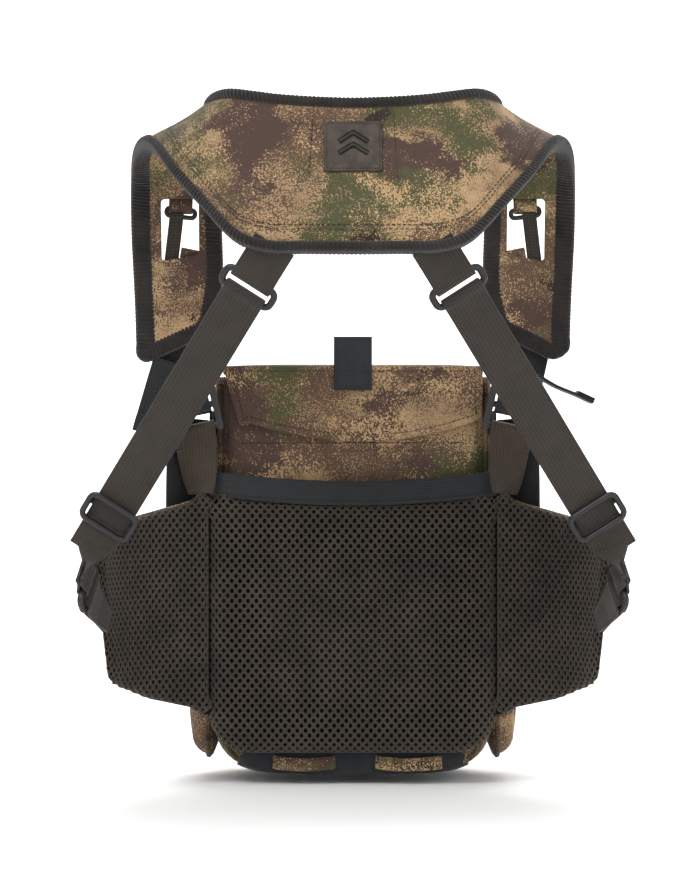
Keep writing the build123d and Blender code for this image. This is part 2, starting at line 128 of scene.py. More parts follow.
def rectangle(x0, x1, y0, y1, radius, parts=8):
    return rounded([(x0, y0, radius), (x1, y0, radius), (x1, y1, radius), (x0, y1, radius)], parts)


def outward(outline):
    """Unit normals of a closed outline that runs anticlockwise or clockwise, pointing out of it."""
    along = np.roll(outline, -1, 0) - np.roll(outline, 1, 0)
    normal = unit(np.column_stack((along[:, 1], -along[:, 0])))
    area = (outline[:, 0] * np.roll(outline[:, 1], -1) - np.roll(outline[:, 0], -1) * outline[:, 1]).sum()
    return normal if area > 0 else -normal


def from_gap(points):
    """What is left of a cut outline, put in order so that it starts after the widest gap."""
    gaps = np.linalg.norm(np.diff(points, axis=0, append=points[:1]), axis=1)
    return np.roll(points, -(np.argmax(gaps) + 1), 0)


def travelled(path):
    """The distance along a path at each of its points."""
    return np.concatenate(([0], np.cumsum(np.linalg.norm(np.diff(path, axis=0), axis=1))))


def nearest_on(outline, points):
    """For each point, the nearest point of a closed outline, and whether it lies inside."""
    a = outline[None]
    b = np.roll(outline, -1, 0)[None]
    p = points[:, None]
    t = np.clip(((p - a) * (b - a)).sum(-1) / ((b - a) ** 2).sum(-1), 0, 1)
    foot = a + (b - a) * t[..., None]
    best = ((p - foot) ** 2).sum(-1).argmin(1)
    near = foot[np.arange(len(points)), best]
    above = (a[..., 1] > p[..., 1]) != (b[..., 1] > p[..., 1])
    with np.errstate(divide="ignore", invalid="ignore"):
        crossing = a[..., 0] + (p[..., 1] - a[..., 1]) / (b[..., 1] - a[..., 1]) * (b - a)[..., 0]
    inside = (above & (p[..., 0] < crossing)).sum(1) % 2 == 1
    return near, inside


# ---- surfaces that a flat shape is laid on --------------------------------------------------------
def plane(origin, right, up):
    """Lays flat points on a plane; depth goes away from the viewer who sees right and up that way."""
    right, up = unit(right), unit(up)
    inward = np.cross(up, right)

    def place(flat, depth):
        flat = np.asarray(flat, float)
        depth = np.broadcast_to(depth, flat.shape[:1])[:, None]
        return vec(*origin) + flat[:, :1] * right + flat[:, 1:] * up + depth * inward

    return place


# ---- making mesh objects --------------------------------------------------------------------------
def make_piece(name, verts, faces, material, uvs=None, sharp=50):
    """A smooth-shaded mesh object from millimetre points."""
    mesh = bpy.data.meshes.new(name)
    mesh.from_pydata((np.asarray(verts) * MM).tolist(), [], faces)
    if uvs is not None:
        corner = np.empty(len(mesh.loops), np.int32)
        mesh.loops.foreach_get("vertex_index", corner)
        layer = mesh.uv_layers.new(name="UVMap")
        layer.data.foreach_set("uv", np.asarray(uvs, np.float32)[corner].ravel())
    mesh.materials.append(material)
    work = bmesh.new()
    work.from_mesh(mesh)
    bmesh.ops.recalc_face_normals(work, faces=work.faces)
    work.to_mesh(mesh)
    work.free()
    mesh.shade_smooth()
    mesh.set_sharp_from_angle(angle=radians(sharp))
    piece = bpy.data.objects.new(name, mesh)
    bpy.context.scene.collection.objects.link(piece)
    return piece


def grid_faces(rows, columns, around=False, along=False, start=0):
    """Quads over a grid of points stored row by row; around closes each row, along closes the columns."""
    faces = []
    for i in range(rows if along else rows - 1):
        low, high = start + i * columns, start + (i + 1) % rows * columns
        for j in range(columns if around else columns - 1):
            k = (j + 1) % columns
            faces.append((low + j, low + k, high + k, high + j))
    return faces


def closed_tube(rows, columns):
    """Faces over rows of points round a tube, with a lid on both ends."""
    faces = grid_faces(rows, columns, around=True)
    faces.append(tuple(range(columns)))
    faces.append(tuple(reversed(range((rows - 1) * columns, rows * columns))))
    return faces


def joined(name, parts, material, sharp=50):
    """One piece from several (verts, faces, uvs) lumps."""
    verts, faces, uvs, start = [], [], [], 0
    for lump_verts, lump_faces, lump_uvs in parts:
        verts.append(lump_verts)
        faces.extend([tuple(start + v for v in face) for face in lump_faces])
        uvs.append(lump_uvs)
        start += len(lump_verts)
    return make_piece(name, np.vstack(verts), faces, material, np.vstack(uvs), sharp)


def tangents(path, closed=False):
    if closed:
        return unit(np.roll(path, -1, 0) - np.roll(path, 1, 0))
    return unit(np.gradient(path, axis=0))


def sweep(path, across, profile, closed=False):
    """A profile of (across, out) points carried along a path, as a lump with UVs in metres."""
    path = np.asarray(path, float)
    heading = tangents(path, closed)
    across = np.broadcast_to(across, path.shape)
    across = unit(across - heading * dots(across, heading))
    out = np.cross(heading, across)
    profile = np.broadcast_to(profile, (len(path),) + np.shape(profile)[-2:])
    verts = path[:, None] + across[:, None] * profile[..., :1] + out[:, None] * profile[..., 1:]
    columns = profile.shape[1]
    travel = travelled(path)
    uvs = np.stack((profile[..., 0], np.broadcast_to(travel[:, None], verts.shape[:2])), -1) * MM
    faces = grid_faces(len(path), columns, around=True, along=closed)
    if not closed:
        faces.append(tuple(range(columns)))
        faces.append(tuple(reversed(range((len(path) - 1) * columns, len(path) * columns))))
    return verts.reshape(-1, 3), faces, uvs.reshape(-1, 2)


def flat_profile(width, thickness, columns=6):
    """The section of a woven strap: flat faces and rounded selvedges."""
    half, lip = width / 2, thickness / 2
    run = np.linspace(-half + lip, half - lip, columns)
    top = np.column_stack((run, np.full(columns, lip)))
    edge = [(half - 0.25 * lip, 0.7 * lip), (half, 0), (half - 0.25 * lip, -0.7 * lip)]
    half_loop = np.vstack((top, edge))
    return np.vstack((half_loop, -half_loop))


def oval_profile(width, thickness, sides=14):
    angle = np.arange(sides) * 2 * pi / sides
    return np.column_stack((np.cos(angle) * width / 2, np.sin(angle) * thickness / 2))


def strap(name, path, across, width, thickness, material, step=1.5):
    """Webbing along a smooth path through points, with a width direction, and if need be a width, at each."""
    path = np.asarray(path, float)
    widths = np.broadcast_to(width, len(path))[:, None]
    rows = curve_through(np.hstack((path, np.broadcast_to(across, path.shape), widths)), step)
    widest = rows[:, 6].max()
    narrowed = np.stack((rows[:, 6] / widest, np.ones(len(rows))), -1)[:, None]
    lump = sweep(rows[:, :3], rows[:, 3:6], flat_profile(widest, thickness) * narrowed)
    return joined(name, [lump], material)


def capsule(centre, along, facing, length, radius):
    """A small stitch: an elongated drop lying along a direction."""
    side = np.cross(along, facing)
    verts, sides = [], 6
    for place, size in ((-0.5, 0.35), (-0.3, 1), (0.3, 1), (0.5, 0.35)):
        for k in range(sides):
            a = k * 2 * pi / sides
            ring = side * cos(a) * radius * size + facing * sin(a) * radius * size * 0.8
            verts.append(centre + along * length * place + ring)
    faces = grid_faces(4, sides, around=True)
    faces.append(tuple(range(sides)))
    faces.append(tuple(range(3 * sides, 4 * sides)))
    return np.array(verts), faces, np.zeros((len(verts), 2))


def stitch_lumps(path, facing, pitch=3.2, length=2.3, radius=0.28, lift=0.1, closed=False):
    """Stitches at even steps along a path that lies on a surface facing the given way."""
    rows = np.hstack((path, np.broadcast_to(facing, np.shape(path))))
    rows = densify(rows, 0.5, closed)
    path, facing = rows[:, :3], rows[:, 3:]
    travel = travelled(path)
    read = lambda columns, at: np.array([np.interp(at, travel, columns[:, k]) for k in range(3)])
    lumps = []
    for at in np.arange(pitch / 2, travel[-1], pitch):
        here, out = read(path, at), read(facing, at)
        ahead, back = read(path, min(at + 0.5, travel[-1])), read(path, max(at - 0.5, 0))
        along = unit(ahead - back)
        out = unit(out - along * (out @ along))
        lumps.append(capsule(here + out * lift, along, out, length, radius))
    return lumps


def mirrored(piece):
    """The right-hand twin of a left-hand piece."""
    twin = piece.copy()
    twin.data = piece.data.copy()
    twin.name = piece.name.replace("left", "right")
    twin.data.name = twin.name
    twin.data.transform(Matrix.Scale(-1, 4, (1, 0, 0)))
    twin.data.flip_normals()
    bpy.context.scene.collection.objects.link(twin)
    return twin


# ---- giving pieces to the frame --------------------------------------------------------------------
def settle(piece, body, slot, *nodes):
    """A finished piece: what it moves with, the slot of its finish, which is not used, and the CAD nodes it
    stands for.
    """
    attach(piece, body)
    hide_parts(*nodes)
    return piece


def settle_pair(piece, body, slot, *nodes):
    """A left-hand piece and its twin; SIDE in a name stands for left or right."""
    pair = (piece, mirrored(piece))
    for side, one in zip(SIDES, pair):
        settle(one, body.replace("SIDE", side), slot, *(node.replace("SIDE", side) for node in nodes))
    return pair


def fit(name, lumps, material, body, slot, *nodes, sharp=50):
    """A piece made from lumps and settled."""
    return settle(joined(name, lumps, material, sharp), body, slot, *nodes)


def fit_pair(name, lumps, material, body, slot, *nodes):
    """A left-hand piece made from lumps, and its twin, both settled."""
    return settle_pair(joined(name, lumps, material), body, slot, *nodes)


def blend_pair(piece, body, start, end, slot, *nodes):
    """A left-hand piece that runs between the harness and a body, and its twin; both are baked where they
    stand and the CAD nodes they stand for are hidden.
    """
    pair = (piece, mirrored(piece))
    for side, one, flip in zip(SIDES, pair, (1, -1)):
        ends = [tuple(p * vec(flip, 1, 1) * MM) for p in (start, end)]
        body.replace("SIDE", side)
        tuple(ends[0])
        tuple(ends[1])
        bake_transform(one)
        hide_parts(*(node.replace("SIDE", side) for node in nodes))
    return pair


# ---- materials -------------------------------------------------------------------------------------
def linear(red, green, blue):
    """A colour given as it looks on screen, 0 to 255, as the renderer wants it."""
    screen = [c / 255 for c in (red, green, blue)]
    return tuple(((c + 0.055) / 1.055) ** 2.4 if c * 255 > 10 else c / 12.92 for c in screen) + (1,)


class Finish:
    """A procedural material being put together."""

    def __init__(self, name, roughness=0.85, specular=0.3, sheen=0.0, metallic=0.0):
        self.material = bpy.data.materials.new(name)
        self.material.use_nodes = True
        self.tree = self.material.node_tree
        self.shader = self.tree.nodes["Principled BSDF"]
        self.shader.inputs["Roughness"].default_value = roughness
        self.shader.inputs["Specular IOR Level"].default_value = specular
        self.shader.inputs["Sheen Weight"].default_value = sheen
        self.shader.inputs["Metallic"].default_value = metallic
        coordinates = self.tree.nodes.new("ShaderNodeTexCoord")
        self.place = coordinates.outputs["Object"]
        self.uv = coordinates.outputs["UV"]

    def node(self, kind, output=0, settings=None, **inputs):
        """Adds a node; inputs are named, or numbered as in_0, and are values or other outputs."""
        made = self.tree.nodes.new(kind)
        for key, value in (settings or {}).items():
            setattr(made, key, value)
        for key, value in inputs.items():
            key = int(key[3:]) if key.startswith("in_") else key.replace("_", " ")
            socket = made.inputs[key]
            if isinstance(value, bpy.types.NodeSocket):
                self.tree.links.new(value, socket)
            else:
                socket.default_value = value
        return made.outputs[output]

    def math(self, operation, a, b=0.0):
        return self.node("ShaderNodeMath", settings={"operation": operation}, in_0=a, in_1=b)

    def noise(self, scale, detail=4.0, roughness=0.55, stretch=None, shift=0.0, place=None):
        """Cloudy noise, 0 to 1; stretch scales each axis."""
        mapped = self.node(
            "ShaderNodeMapping",
            Vector=self.place if place is None else place,
            Scale=stretch or (1, 1, 1),
            Location=(shift, shift * 0.7, shift * 1.3),
        )
        return self.node("ShaderNodeTexNoise", Vector=mapped, Scale=scale, Detail=detail, Roughness=roughness)

    def range(self, value, low, high, to_low=0.0, to_high=1.0):
        return self.node(
            "ShaderNodeMapRange",
            settings={"interpolation_type": "SMOOTHSTEP"},
            Value=value,
            From_Min=low,
            From_Max=high,
            To_Min=to_low,
            To_Max=to_high,
        )

    def mix(self, factor, a, b):
        return self.node(
            "ShaderNodeMix", output=2, settings={"data_type": "RGBA"}, in_0=factor, in_6=a, in_7=b
        )

    def wave(self, axis, pitch, lean=0.0):
        """Ribs across a UV direction, 0 in the grooves and 1 on the ribs; lean slants them."""
        parts = self.node("ShaderNodeSeparateXYZ", Vector=self.uv)
        across, along = parts, parts.node.outputs[1]
        main, other = (across, along) if axis == "u" else (along, across)
        phase = self.math("MULTIPLY", main, 2 * pi / pitch)
        if lean:
            phase = self.math("ADD", phase, self.math("MULTIPLY", other, 2 * pi * lean / pitch))
        ripple = self.math("SINE", phase)
        return self.math("ADD", self.math("MULTIPLY", ripple, 0.5), 0.5)

    def finish(self, colour, height=None, strength=0.4, distance=0.0004, roughness=None):
        self.tree.links.new(colour, self.shader.inputs["Base Color"])
        if roughness is not None:
            self.tree.links.new(roughness, self.shader.inputs["Roughness"])
        if height is not None:
            bump = self.node("ShaderNodeBump", Height=height, Strength=strength, Distance=distance)
            self.tree.links.new(bump, self.shader.inputs["Normal"])
        return self.material


def camouflage(name, shade=1.0):
    """Printed fabric: sand ground, dithered brown, olive and dark patches that lie wider than tall."""
    f = Finish(name, roughness=0.88, specular=0.2, sheen=0.08)
    # shade below 1 darkens every colour, for a painted-shade copy of the fabric.
    tone = lambda r, g, b: linear(r * shade, g * shade, b * shade)
    warp = f.node("ShaderNodeTexNoise", output=1, Vector=f.place, Scale=34.0, Detail=3.0)
    vectors = lambda work, a, b: f.node("ShaderNodeVectorMath", settings={"operation": work}, in_0=a, in_1=b)
    push = vectors("MULTIPLY", vectors("SUBTRACT", warp, (0.5, 0.5, 0.5)), (0.03, 0.03, 0.02))
    place = vectors("ADD", f.place, push)
    speck = f.math("SUBTRACT", f.noise(980.0, 2.0), 0.5)
    grain = f.math("SUBTRACT", f.noise(1500.0, 1.0), 0.5)
    flat = (1, 1, 1.5)

    def patch(scale, shift, threshold, edge, dither):
        cloud = f.noise(scale, 5.0, 0.58, flat, shift, place)
        dotted = f.math("ADD", cloud, f.math("MULTIPLY", speck, dither))
        return f.range(dotted, threshold - edge, threshold + edge)

    colour = f.mix(f.range(f.noise(40.0, 3.0), 0.35, 0.65), tone(184, 154, 116), tone(156, 128, 97))
    colour = f.mix(patch(12.0, 3.1, 0.455, 0.03, 1.05), colour, tone(94, 74, 61))
    colour = f.mix(patch(11.0, 7.7, 0.56, 0.012, 0.4), colour, tone(80, 80, 54))
    colour = f.mix(patch(14.0, 12.4, 0.555, 0.01, 0.16), colour, tone(80, 62, 56))
    colour = f.mix(patch(19.0, 21.9, 0.64, 0.01, 0.2), colour, tone(48, 40, 36))
    colour = f.mix(patch(22.0, 31.0, 0.63, 0.01, 0.8), colour, tone(190, 158, 118))
    colour = f.mix(f.range(grain, -0.2, 0.2, 0.0, 0.3), colour, tone(58, 48, 38))
    height = f.math("ADD", f.noise(1900.0, 2.0), f.math("MULTIPLY", f.noise(60.0, 3.0), 2.5))
    return f.finish(colour, height, 0.35, 0.0005)


def webbing(name, ground, ridge, pitch=0.0011, lean=0.35, fuzz=0.4):
    """Woven strap with fine ribs across it and a firmer selvedge, mapped by its UVs."""
    f = Finish(name, roughness=0.75, specular=0.35, sheen=0.15)
    ribs = f.wave("v", pitch, lean)
    columns = f.wave("u", 0.0021)
    weave = f.math("MULTIPLY", ribs, f.math("ADD", f.math("MULTIPLY", columns, 0.45), 0.55))
    wear_and_edge_highlight = f.noise(90.0, 4.0)
    tint = f.math("ADD", f.math("MULTIPLY", weave, 0.75), f.math("MULTIPLY", wear_and_edge_highlight, fuzz))
    colour = f.mix(f.range(tint, 0.1, 1.0), linear(*ground), linear(*ridge))
    height = f.math("ADD", weave, f.math("MULTIPLY", f.noise(2500.0, 2.0), 0.3))
    return f.finish(colour, height, 0.6, 0.0004)


def ribbed_elastic(name, ground, ridge, pitch=0.0016):
    """Elastic: soft ribs that run along it, crossed by fine yarns."""
    f = Finish(name, roughness=0.6, specular=0.4, sheen=0.1)
    ribs = f.wave("u", pitch)
    yarns = f.wave("v", 0.0007)
    weave = f.math("MULTIPLY", ribs, f.math("ADD", f.math("MULTIPLY", yarns, 0.3), 0.7))
    colour = f.mix(f.math("MULTIPLY", weave, f.noise(120.0)), linear(*ground), linear(*ridge))
    return f.finish(colour, weave, 0.5, 0.0004)


def plain_cloth(name, dark, light, roughness=0.8, scale=900.0, sheen=0.1, strength=0.4):
    """A closely woven cloth in one colour, with crossed yarns and uneven wear."""
    f = Finish(name, roughness=roughness, specular=0.3, sheen=sheen)
    parts = f.node("ShaderNodeSeparateXYZ", Vector=f.place)
    yarns = [f.math("SINE", f.math("MULTIPLY", parts.node.outputs[k], 2 * pi * scale)) for k in range(3)]
    cross = f.math("MULTIPLY", f.math("ADD", yarns[0], yarns[1]), yarns[2])
    tint = f.math("ADD", f.math("MULTIPLY", cross, 0.12), f.noise(45.0, 5.0))
    colour = f.mix(f.range(tint, 0.25, 0.8), linear(*dark), linear(*light))
    height = f.math("ADD", f.math("MULTIPLY", cross, 0.4), f.noise(700.0, 3.0))
    return f.finish(colour, height, strength, 0.0003)


def moulded_plastic(name, dark, light):
    """Glass-filled nylon: fine sparkle, and paler along its convex edges as a painted highlight."""
    f = Finish(name, roughness=0.42, specular=0.5)
    pitted = f.noise(1400.0, 2.0)
    geometry = f.node("ShaderNodeNewGeometry", output="Pointiness")
    # Pointiness is high on convex edges: this mask paints a highlight there.
    wear_and_edge_highlight = f.range(geometry, 0.5, 0.58)
    tint = f.math("ADD", f.math("MULTIPLY", wear_and_edge_highlight, 0.5), f.math("MULTIPLY", f.noise(60.0, 4.0), 0.5))
    colour = f.mix(tint, linear(*dark), linear(*light))
    roughness = f.range(f.noise(300.0, 3.0), 0.3, 0.7, 0.34, 0.52)
    return f.finish(colour, pitted, 0.15, 0.0002, roughness)


def pressed_leather(name, dark, light):
    """Leatherette with a pebbled grain."""
    f = Finish(name, roughness=0.6, specular=0.4)
    cells = f.node("ShaderNodeTexVoronoi", Vector=f.place, Scale=1300.0)
    colour = f.mix(f.range(f.noise(150.0, 5.0), 0.3, 0.7), linear(*dark), linear(*light))
    return f.finish(colour, cells, 0.35, 0.0003)


def brushed_steel(name):
    f = Finish(name, roughness=0.35, specular=0.5, metallic=1.0)
    streaks = f.noise(400.0, 4.0, stretch=(1, 1, 12))
    colour = f.mix(streaks, linear(120, 122, 126), linear(190, 192, 196))
    return f.finish(colour, streaks, 0.1, 0.0002)


CAMO = camouflage("camo_fabric")
# A darker copy of the camo: painted shade for the piping and hems.
CAMO_PAINTED_SHADE = camouflage("camo_fabric_shaded", 0.82)
STRAP = webbing("strap_webbing", (26, 22, 19), (66, 58, 50), 0.0009, 0.1)
LOOP_STRAP = webbing("loop_webbing", (34, 28, 22), (78, 64, 50), 0.0016, 0.9)
BLACK_STRAP = webbing("black_webbing", (10, 11, 13), (36, 38, 41), 0.0013, 0.0)
TAB_CLOTH = ribbed_elastic("tab_cloth", (16, 20, 25), (46, 52, 59), 0.0011)
ELASTIC = ribbed_elastic("elastic_band", (12, 14, 17), (40, 44, 49))
MESH_STRAND = plain_cloth("spacer_mesh", (46, 40, 34), (68, 60, 51), 0.8, 700.0, 0.15, 0.5)
MESH_BACK = plain_cloth("spacer_mesh_core", (9, 8, 8), (20, 18, 17), 0.95, 600.0, 0.0)
KNIT = plain_cloth("knit_binding", (18, 16, 15), (46, 41, 37), 0.85, 1200.0, 0.25, 0.6)
BASE_CLOTH = plain_cloth("base_fabric", (20, 22, 26), (38, 41, 47), 0.55, 1100.0)
LINING = plain_cloth("liner_cloth", (70, 64, 54), (104, 96, 82), 0.9, 500.0, 0.3)
PLASTIC = moulded_plastic("buckle_plastic", (9, 9, 10), (38, 37, 40))
LEATHER = pressed_leather("patch_leather", (48, 40, 34), (74, 63, 54))
LEATHER_DARK = pressed_leather("patch_leather_dark", (30, 26, 22), (48, 42, 36))
STEEL = brushed_steel("magnet_steel")
DARK_THREAD = plain_cloth("dark_thread", (26, 22, 18), (54, 46, 38), 0.7, 2500.0)


# ---- padded slabs and holed mesh --------------------------------------------------------------------
def slab(outline, place, depth, edge, crown=0.0, rings=9, turns=6):
    """A padded slab as a lump: a crowned face, edges rounded over, and a flat back."""
    normal = outward(outline)
    face = outline - normal * edge
    centre = face.mean(0)
    loops = [(centre + (face - centre) * f, crown * f**4) for f in np.linspace(1 / rings, 1, rings)]
    for a in np.linspace(0, pi / 2, turns + 1)[1:]:
        loops.append((face + normal * edge * sin(a), crown + edge * (1 - cos(a))))
    back = max(depth - edge * 0.35, crown + edge)
    loops.append((outline, back))
    loops.append((face + normal * edge * 0.6, depth))
    loops.extend((centre + (face - centre) * f, depth) for f in (0.95, 0.6, 0.25))
    verts = [place(flat, level) for flat, level in loops]
    flats = [flat for flat, level in loops]
    count = len(outline)
    faces = grid_faces(len(loops), count, around=True)
    verts = np.vstack(verts + [place(centre[None], 0.0), place(centre[None], depth)])
    uvs = np.vstack(flats + [centre[None], centre[None]]) * MM
    first, last = len(loops) * count, len(loops) * count + 1
    for j in range(count):
        k = (j + 1) % count
        faces.append((first, k, j))
        faces.append((last, (len(loops) - 1) * count + j, (len(loops) - 1) * count + k))
    return verts, faces, uvs


HOLE_PITCH = 5.0
ROW_PITCH = 3.05
HOLE_HALF = (1.2, 1.5)


def holed_mesh(outline, place, edge, crown, reach, deep=1.6):
    """Spacer mesh as a lump: staggered oval holes in rounded strands, drawn over the slab's rounded edge."""
    normal = outward(outline)
    face = outline - normal * edge
    low, high = outline.min(0) - reach, outline.max(0) + reach
    centres = []
    for row in range(int((high[1] - low[1]) / ROW_PITCH) + 1):
        shift = HOLE_PITCH / 2 if row % 2 else 0.0
        for x in np.arange(low[0] + shift, high[0], HOLE_PITCH):
            centres.append((x, low[1] + row * ROW_PITCH))
    centres = np.array(centres)
    near, inside = nearest_on(face, centres)
    gap = np.where(inside, -1.0, 1.0) * np.linalg.norm(centres - near, axis=1)
    centres = centres[gap < reach]
    half, rise = HOLE_PITCH / 2, ROW_PITCH
    tip = (half**2 + rise**2) / (2 * rise)
    side = tip - half * half / rise
    corners = np.array([(0, tip), (half, side), (half, -side), (0, -tip), (-half, -side), (-half, side)])
    cell = np.vstack([(a, (a + b) / 2) for a, b in zip(corners, np.roll(corners, -1, 0))])
    angle = np.arctan2(cell[:, 1] / HOLE_HALF[1], cell[:, 0] / HOLE_HALF[0])
    oval = np.column_stack((np.cos(angle) * HOLE_HALF[0], np.sin(angle) * HOLE_HALF[1]))
    border = (centres[:, None] + cell).reshape(-1, 2)
    keys = np.round(border / 0.05).astype(int)
    index, back = np.unique(keys, axis=0, return_index=True, return_inverse=True)[1:]
    border_index = back.reshape(len(centres), 12)
    rings = []
    for mixing, level in ((0.62, 0.12), (1.0, 0.55), (1.04, deep)):
        shape = cell + (oval - cell) * mixing
        rings.append(((centres[:, None] + shape).reshape(-1, 2), level))
    flats = [border[index]] + [flat for flat, level in rings]
    levels = [np.zeros(len(index))] + [np.full(len(flat), level) for flat, level in rings]
    flat, level = np.vstack(flats), np.concatenate(levels)
    near, inside = nearest_on(face, flat)
    away = flat - near
    gap = np.linalg.norm(away, axis=1)
    out = away / np.maximum(gap, 1e-6)[:, None]
    turn = np.clip(gap / edge, 0, pi / 2)
    wrapped = near + out * edge * np.sin(turn)[:, None]
    down = crown + edge * (1 - np.cos(turn)) + np.maximum(gap - edge * pi / 2, 0)
    leaning = out * (level * np.sin(turn))[:, None]
    inner = np.clip(gap / 30, 0, 1)
    fade = crown * (1 - inner) ** 4
    points = np.where(inside[:, None], flat, wrapped - leaning)
    depth = np.where(inside, fade + level, down + level * np.cos(turn))
    verts = place(points, depth)
    faces = []
    starts = len(index) + np.arange(3) * len(centres) * 12
    for c in range(len(centres)):
        loop = [border_index[c]] + [start + c * 12 + np.arange(12) for start in starts]
        for upper, lower in zip(loop, loop[1:]):
            for j in range(12):
                k = (j + 1) % 12
                faces.append((upper[j], upper[k], lower[k], lower[j]))
    return verts, faces, flat * MM


# ---- back pad --------------------------------------------------------------------------------------
PAD_HALF, PAD_FOOT, PAD_HEAD, PAD_SAG = 88.5, -81.0, 78.0, 6.0
PAD_EDGE, PAD_CROWN = 8.5, 2.0
BACK_VIEW = plane((0, 0, 0), RIGHT, UP)


def sagging_top(outline, head, half, sag):
    """Lets the top edge of an outline dip towards its middle."""
    near_top = np.clip((outline[:, 1] - head + 30) / 30, 0, 1)
    dip = sag * (1 - (outline[:, 0] / half) ** 2) * near_top
    return np.column_stack((outline[:, 0], outline[:, 1] - dip))


def back_pad():
    corners = [(-PAD_HALF, PAD_FOOT, 26), (PAD_HALF, PAD_FOOT, 26)]
    corners += [(PAD_HALF, PAD_HEAD, 5), (-PAD_HALF, PAD_HEAD, 5)]
    outline = sagging_top(densify(rounded(corners), 5), PAD_HEAD, PAD_HALF, PAD_SAG)
    behind = plane((0, 1.4, 0), RIGHT, UP)
    lump = slab(outline - outward(outline) * 1.3, behind, 10.6, PAD_EDGE, PAD_CROWN)
    core = joined("back_pad_core", [lump], MESH_BACK)
    settle(core, "harness", "spacer_mesh", "back_pad")
    mesh = holed_mesh(outline, BACK_VIEW, PAD_EDGE, PAD_CROWN, 13.0)
    fit("back_pad_mesh", [mesh], MESH_STRAND, "harness", "spacer_mesh", sharp=80)
    rim = from_gap(outline[outline[:, 1] < PAD_HEAD - PAD_SAG - 1])
    path = np.column_stack((rim[:, 0] * 0.972, np.full(len(rim), 14.6), rim[:, 1] + 2.5 * (rim[:, 1] < 0)))
    edging = joined("back_pad_rim", [sweep(path, OUTWARD, flat_profile(7.2, 3.2))], BASE_CLOTH)
    settle(edging, "harness", "spacer_mesh")


def pocket_band():
    """Elastic at the mouth of the slip pocket, with a zigzag row of stitches at its foot."""
    half, centre_y = 87.0, 6.4
    across = np.linspace(-half, half, 60)
    dip = PAD_SAG * (1 - (across / half) ** 2)
    path = np.column_stack((across, np.full(60, centre_y), 84.4 - dip))
    profile = flat_profile(15.4, 2.4, 9)
    band = joined("pocket_band_elastic", [sweep(path, vec(0, 0.22, 1), profile)], ELASTIC)
    settle(band, "harness", "elastic_band", "pocket_band")
    x = np.arange(-84, 85, 2.0)
    height = 79.4 - PAD_SAG * (1 - (x / half) ** 2) + np.where(np.arange(len(x)) % 2, 0.7, -0.7)
    zigzag = np.column_stack((x, np.full(len(x), centre_y - 2.5), height))
    lumps = stitch_lumps(zigzag, TO_WEARER, 2.12, 1.9, 0.24)
    fit("pocket_band_stitches", lumps, DARK_THREAD, "harness", "elastic_band")


# ---- wings -----------------------------------------------------------------------------------------
WING_RADIUS, WING_START = 75.0, 10.0
WING_TOP_TURN, WING_FOOT_TURN = 75.0, 56.0
WING_SEAM = vec(-90.2, 5.0)
WING_CENTRE = WING_SEAM + WING_RADIUS * vec(sin(radians(WING_START)), -cos(radians(WING_START)))
WING_HALF_THICK = 5.0


def on_wing(flat, depth):
    """Lays (arc length, height) on the wing; depth is from the wearer's side and shrinks towards the tip."""
    flat = np.asarray(flat, float)
    depth = depth * (1 - 0.5 * np.clip((flat[:, 0] - 35) / 60, 0, 1))
    angle = radians(WING_START) + flat[:, 0] / WING_RADIUS
    radius = WING_RADIUS - WING_HALF_THICK + depth
    x, y = WING_CENTRE[0] - radius * np.sin(angle), WING_CENTRE[1] + radius * np.cos(angle)
    return np.column_stack((x, y, flat[:, 1]))


def wing_outline():
    length = [WING_RADIUS * radians(turn) for turn in (WING_FOOT_TURN, WING_TOP_TURN)]
    top = [(length[1] * a, 77 - 23 * a**0.75, 0) for a in (0.02, 0.15, 0.35, 0.6, 0.85)]
    corners = [(-1.8, 76.5, 1.5), (-1.8, -55.0, 2.0), (length[0] * 0.5, -46.0, 30.0)]
    corners += [(length[0], -33.0, 7.0), (length[1], 54.0, 3.0)]
    return densify(rounded(corners + top[::-1]), 4)


def wings():
    outline = wing_outline()
    core_line = outline - outward(outline) * 1.2
    core = joined("left_wing_core", [slab(core_line, lambda f, d: on_wing(f, d + 1.3), 8.0, 4.0)], MESH_BACK)
    cover = joined("left_wing_mesh", [holed_mesh(outline, on_wing, 4.0, 0.0, 8.5)], MESH_STRAND, 80)
    back_line = outline - outward(outline) * 2.2 * (outline[:, 1:] < 50) + vec(0, 0.6) * (outline[:, 1:] > 50)
    backing = joined("left_wing_backing", [slab(back_line, lambda f, d: on_wing(f, d + 7.4), 2.6, 1.0)], CAMO)
    gutter = [(-89.6, 9.0, z) for z in (-57, -20, 30, 79)]
    fold = sweep(curve_through(gutter, 3), vec(1, 0.15, 0), flat_profile(9.0, 4.6))
    fit_pair("left_wing_seam", [fold], MESH_BACK, "harness", "spacer_mesh")
    seam, free = on_wing(vec(0, 10)[None], 5.0)[0], on_wing(vec(16, 10)[None], 5.0)[0]
    for one in blend_pair(core, "SIDE_wing_body", seam, free, "spacer_mesh", "SIDE_wing"):
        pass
    blend_pair(cover, "SIDE_wing_body", seam, free, "spacer_mesh")
    blend_pair(backing, "SIDE_wing_body", seam, free, "camo_fabric")


# ---- pack body -------------------------------------------------------------------------------------
PACK_HALF, PACK_BACK, PACK_FRONT = 85.5, 18.0, 106.0
PACK_FOOT, PACK_HEAD, PACK_CORNER, PACK_EDGE = -92.0, 150.0, 26.0, 14.0
SEAM_HEIGHT = 106.0
RING_POINTS = 200


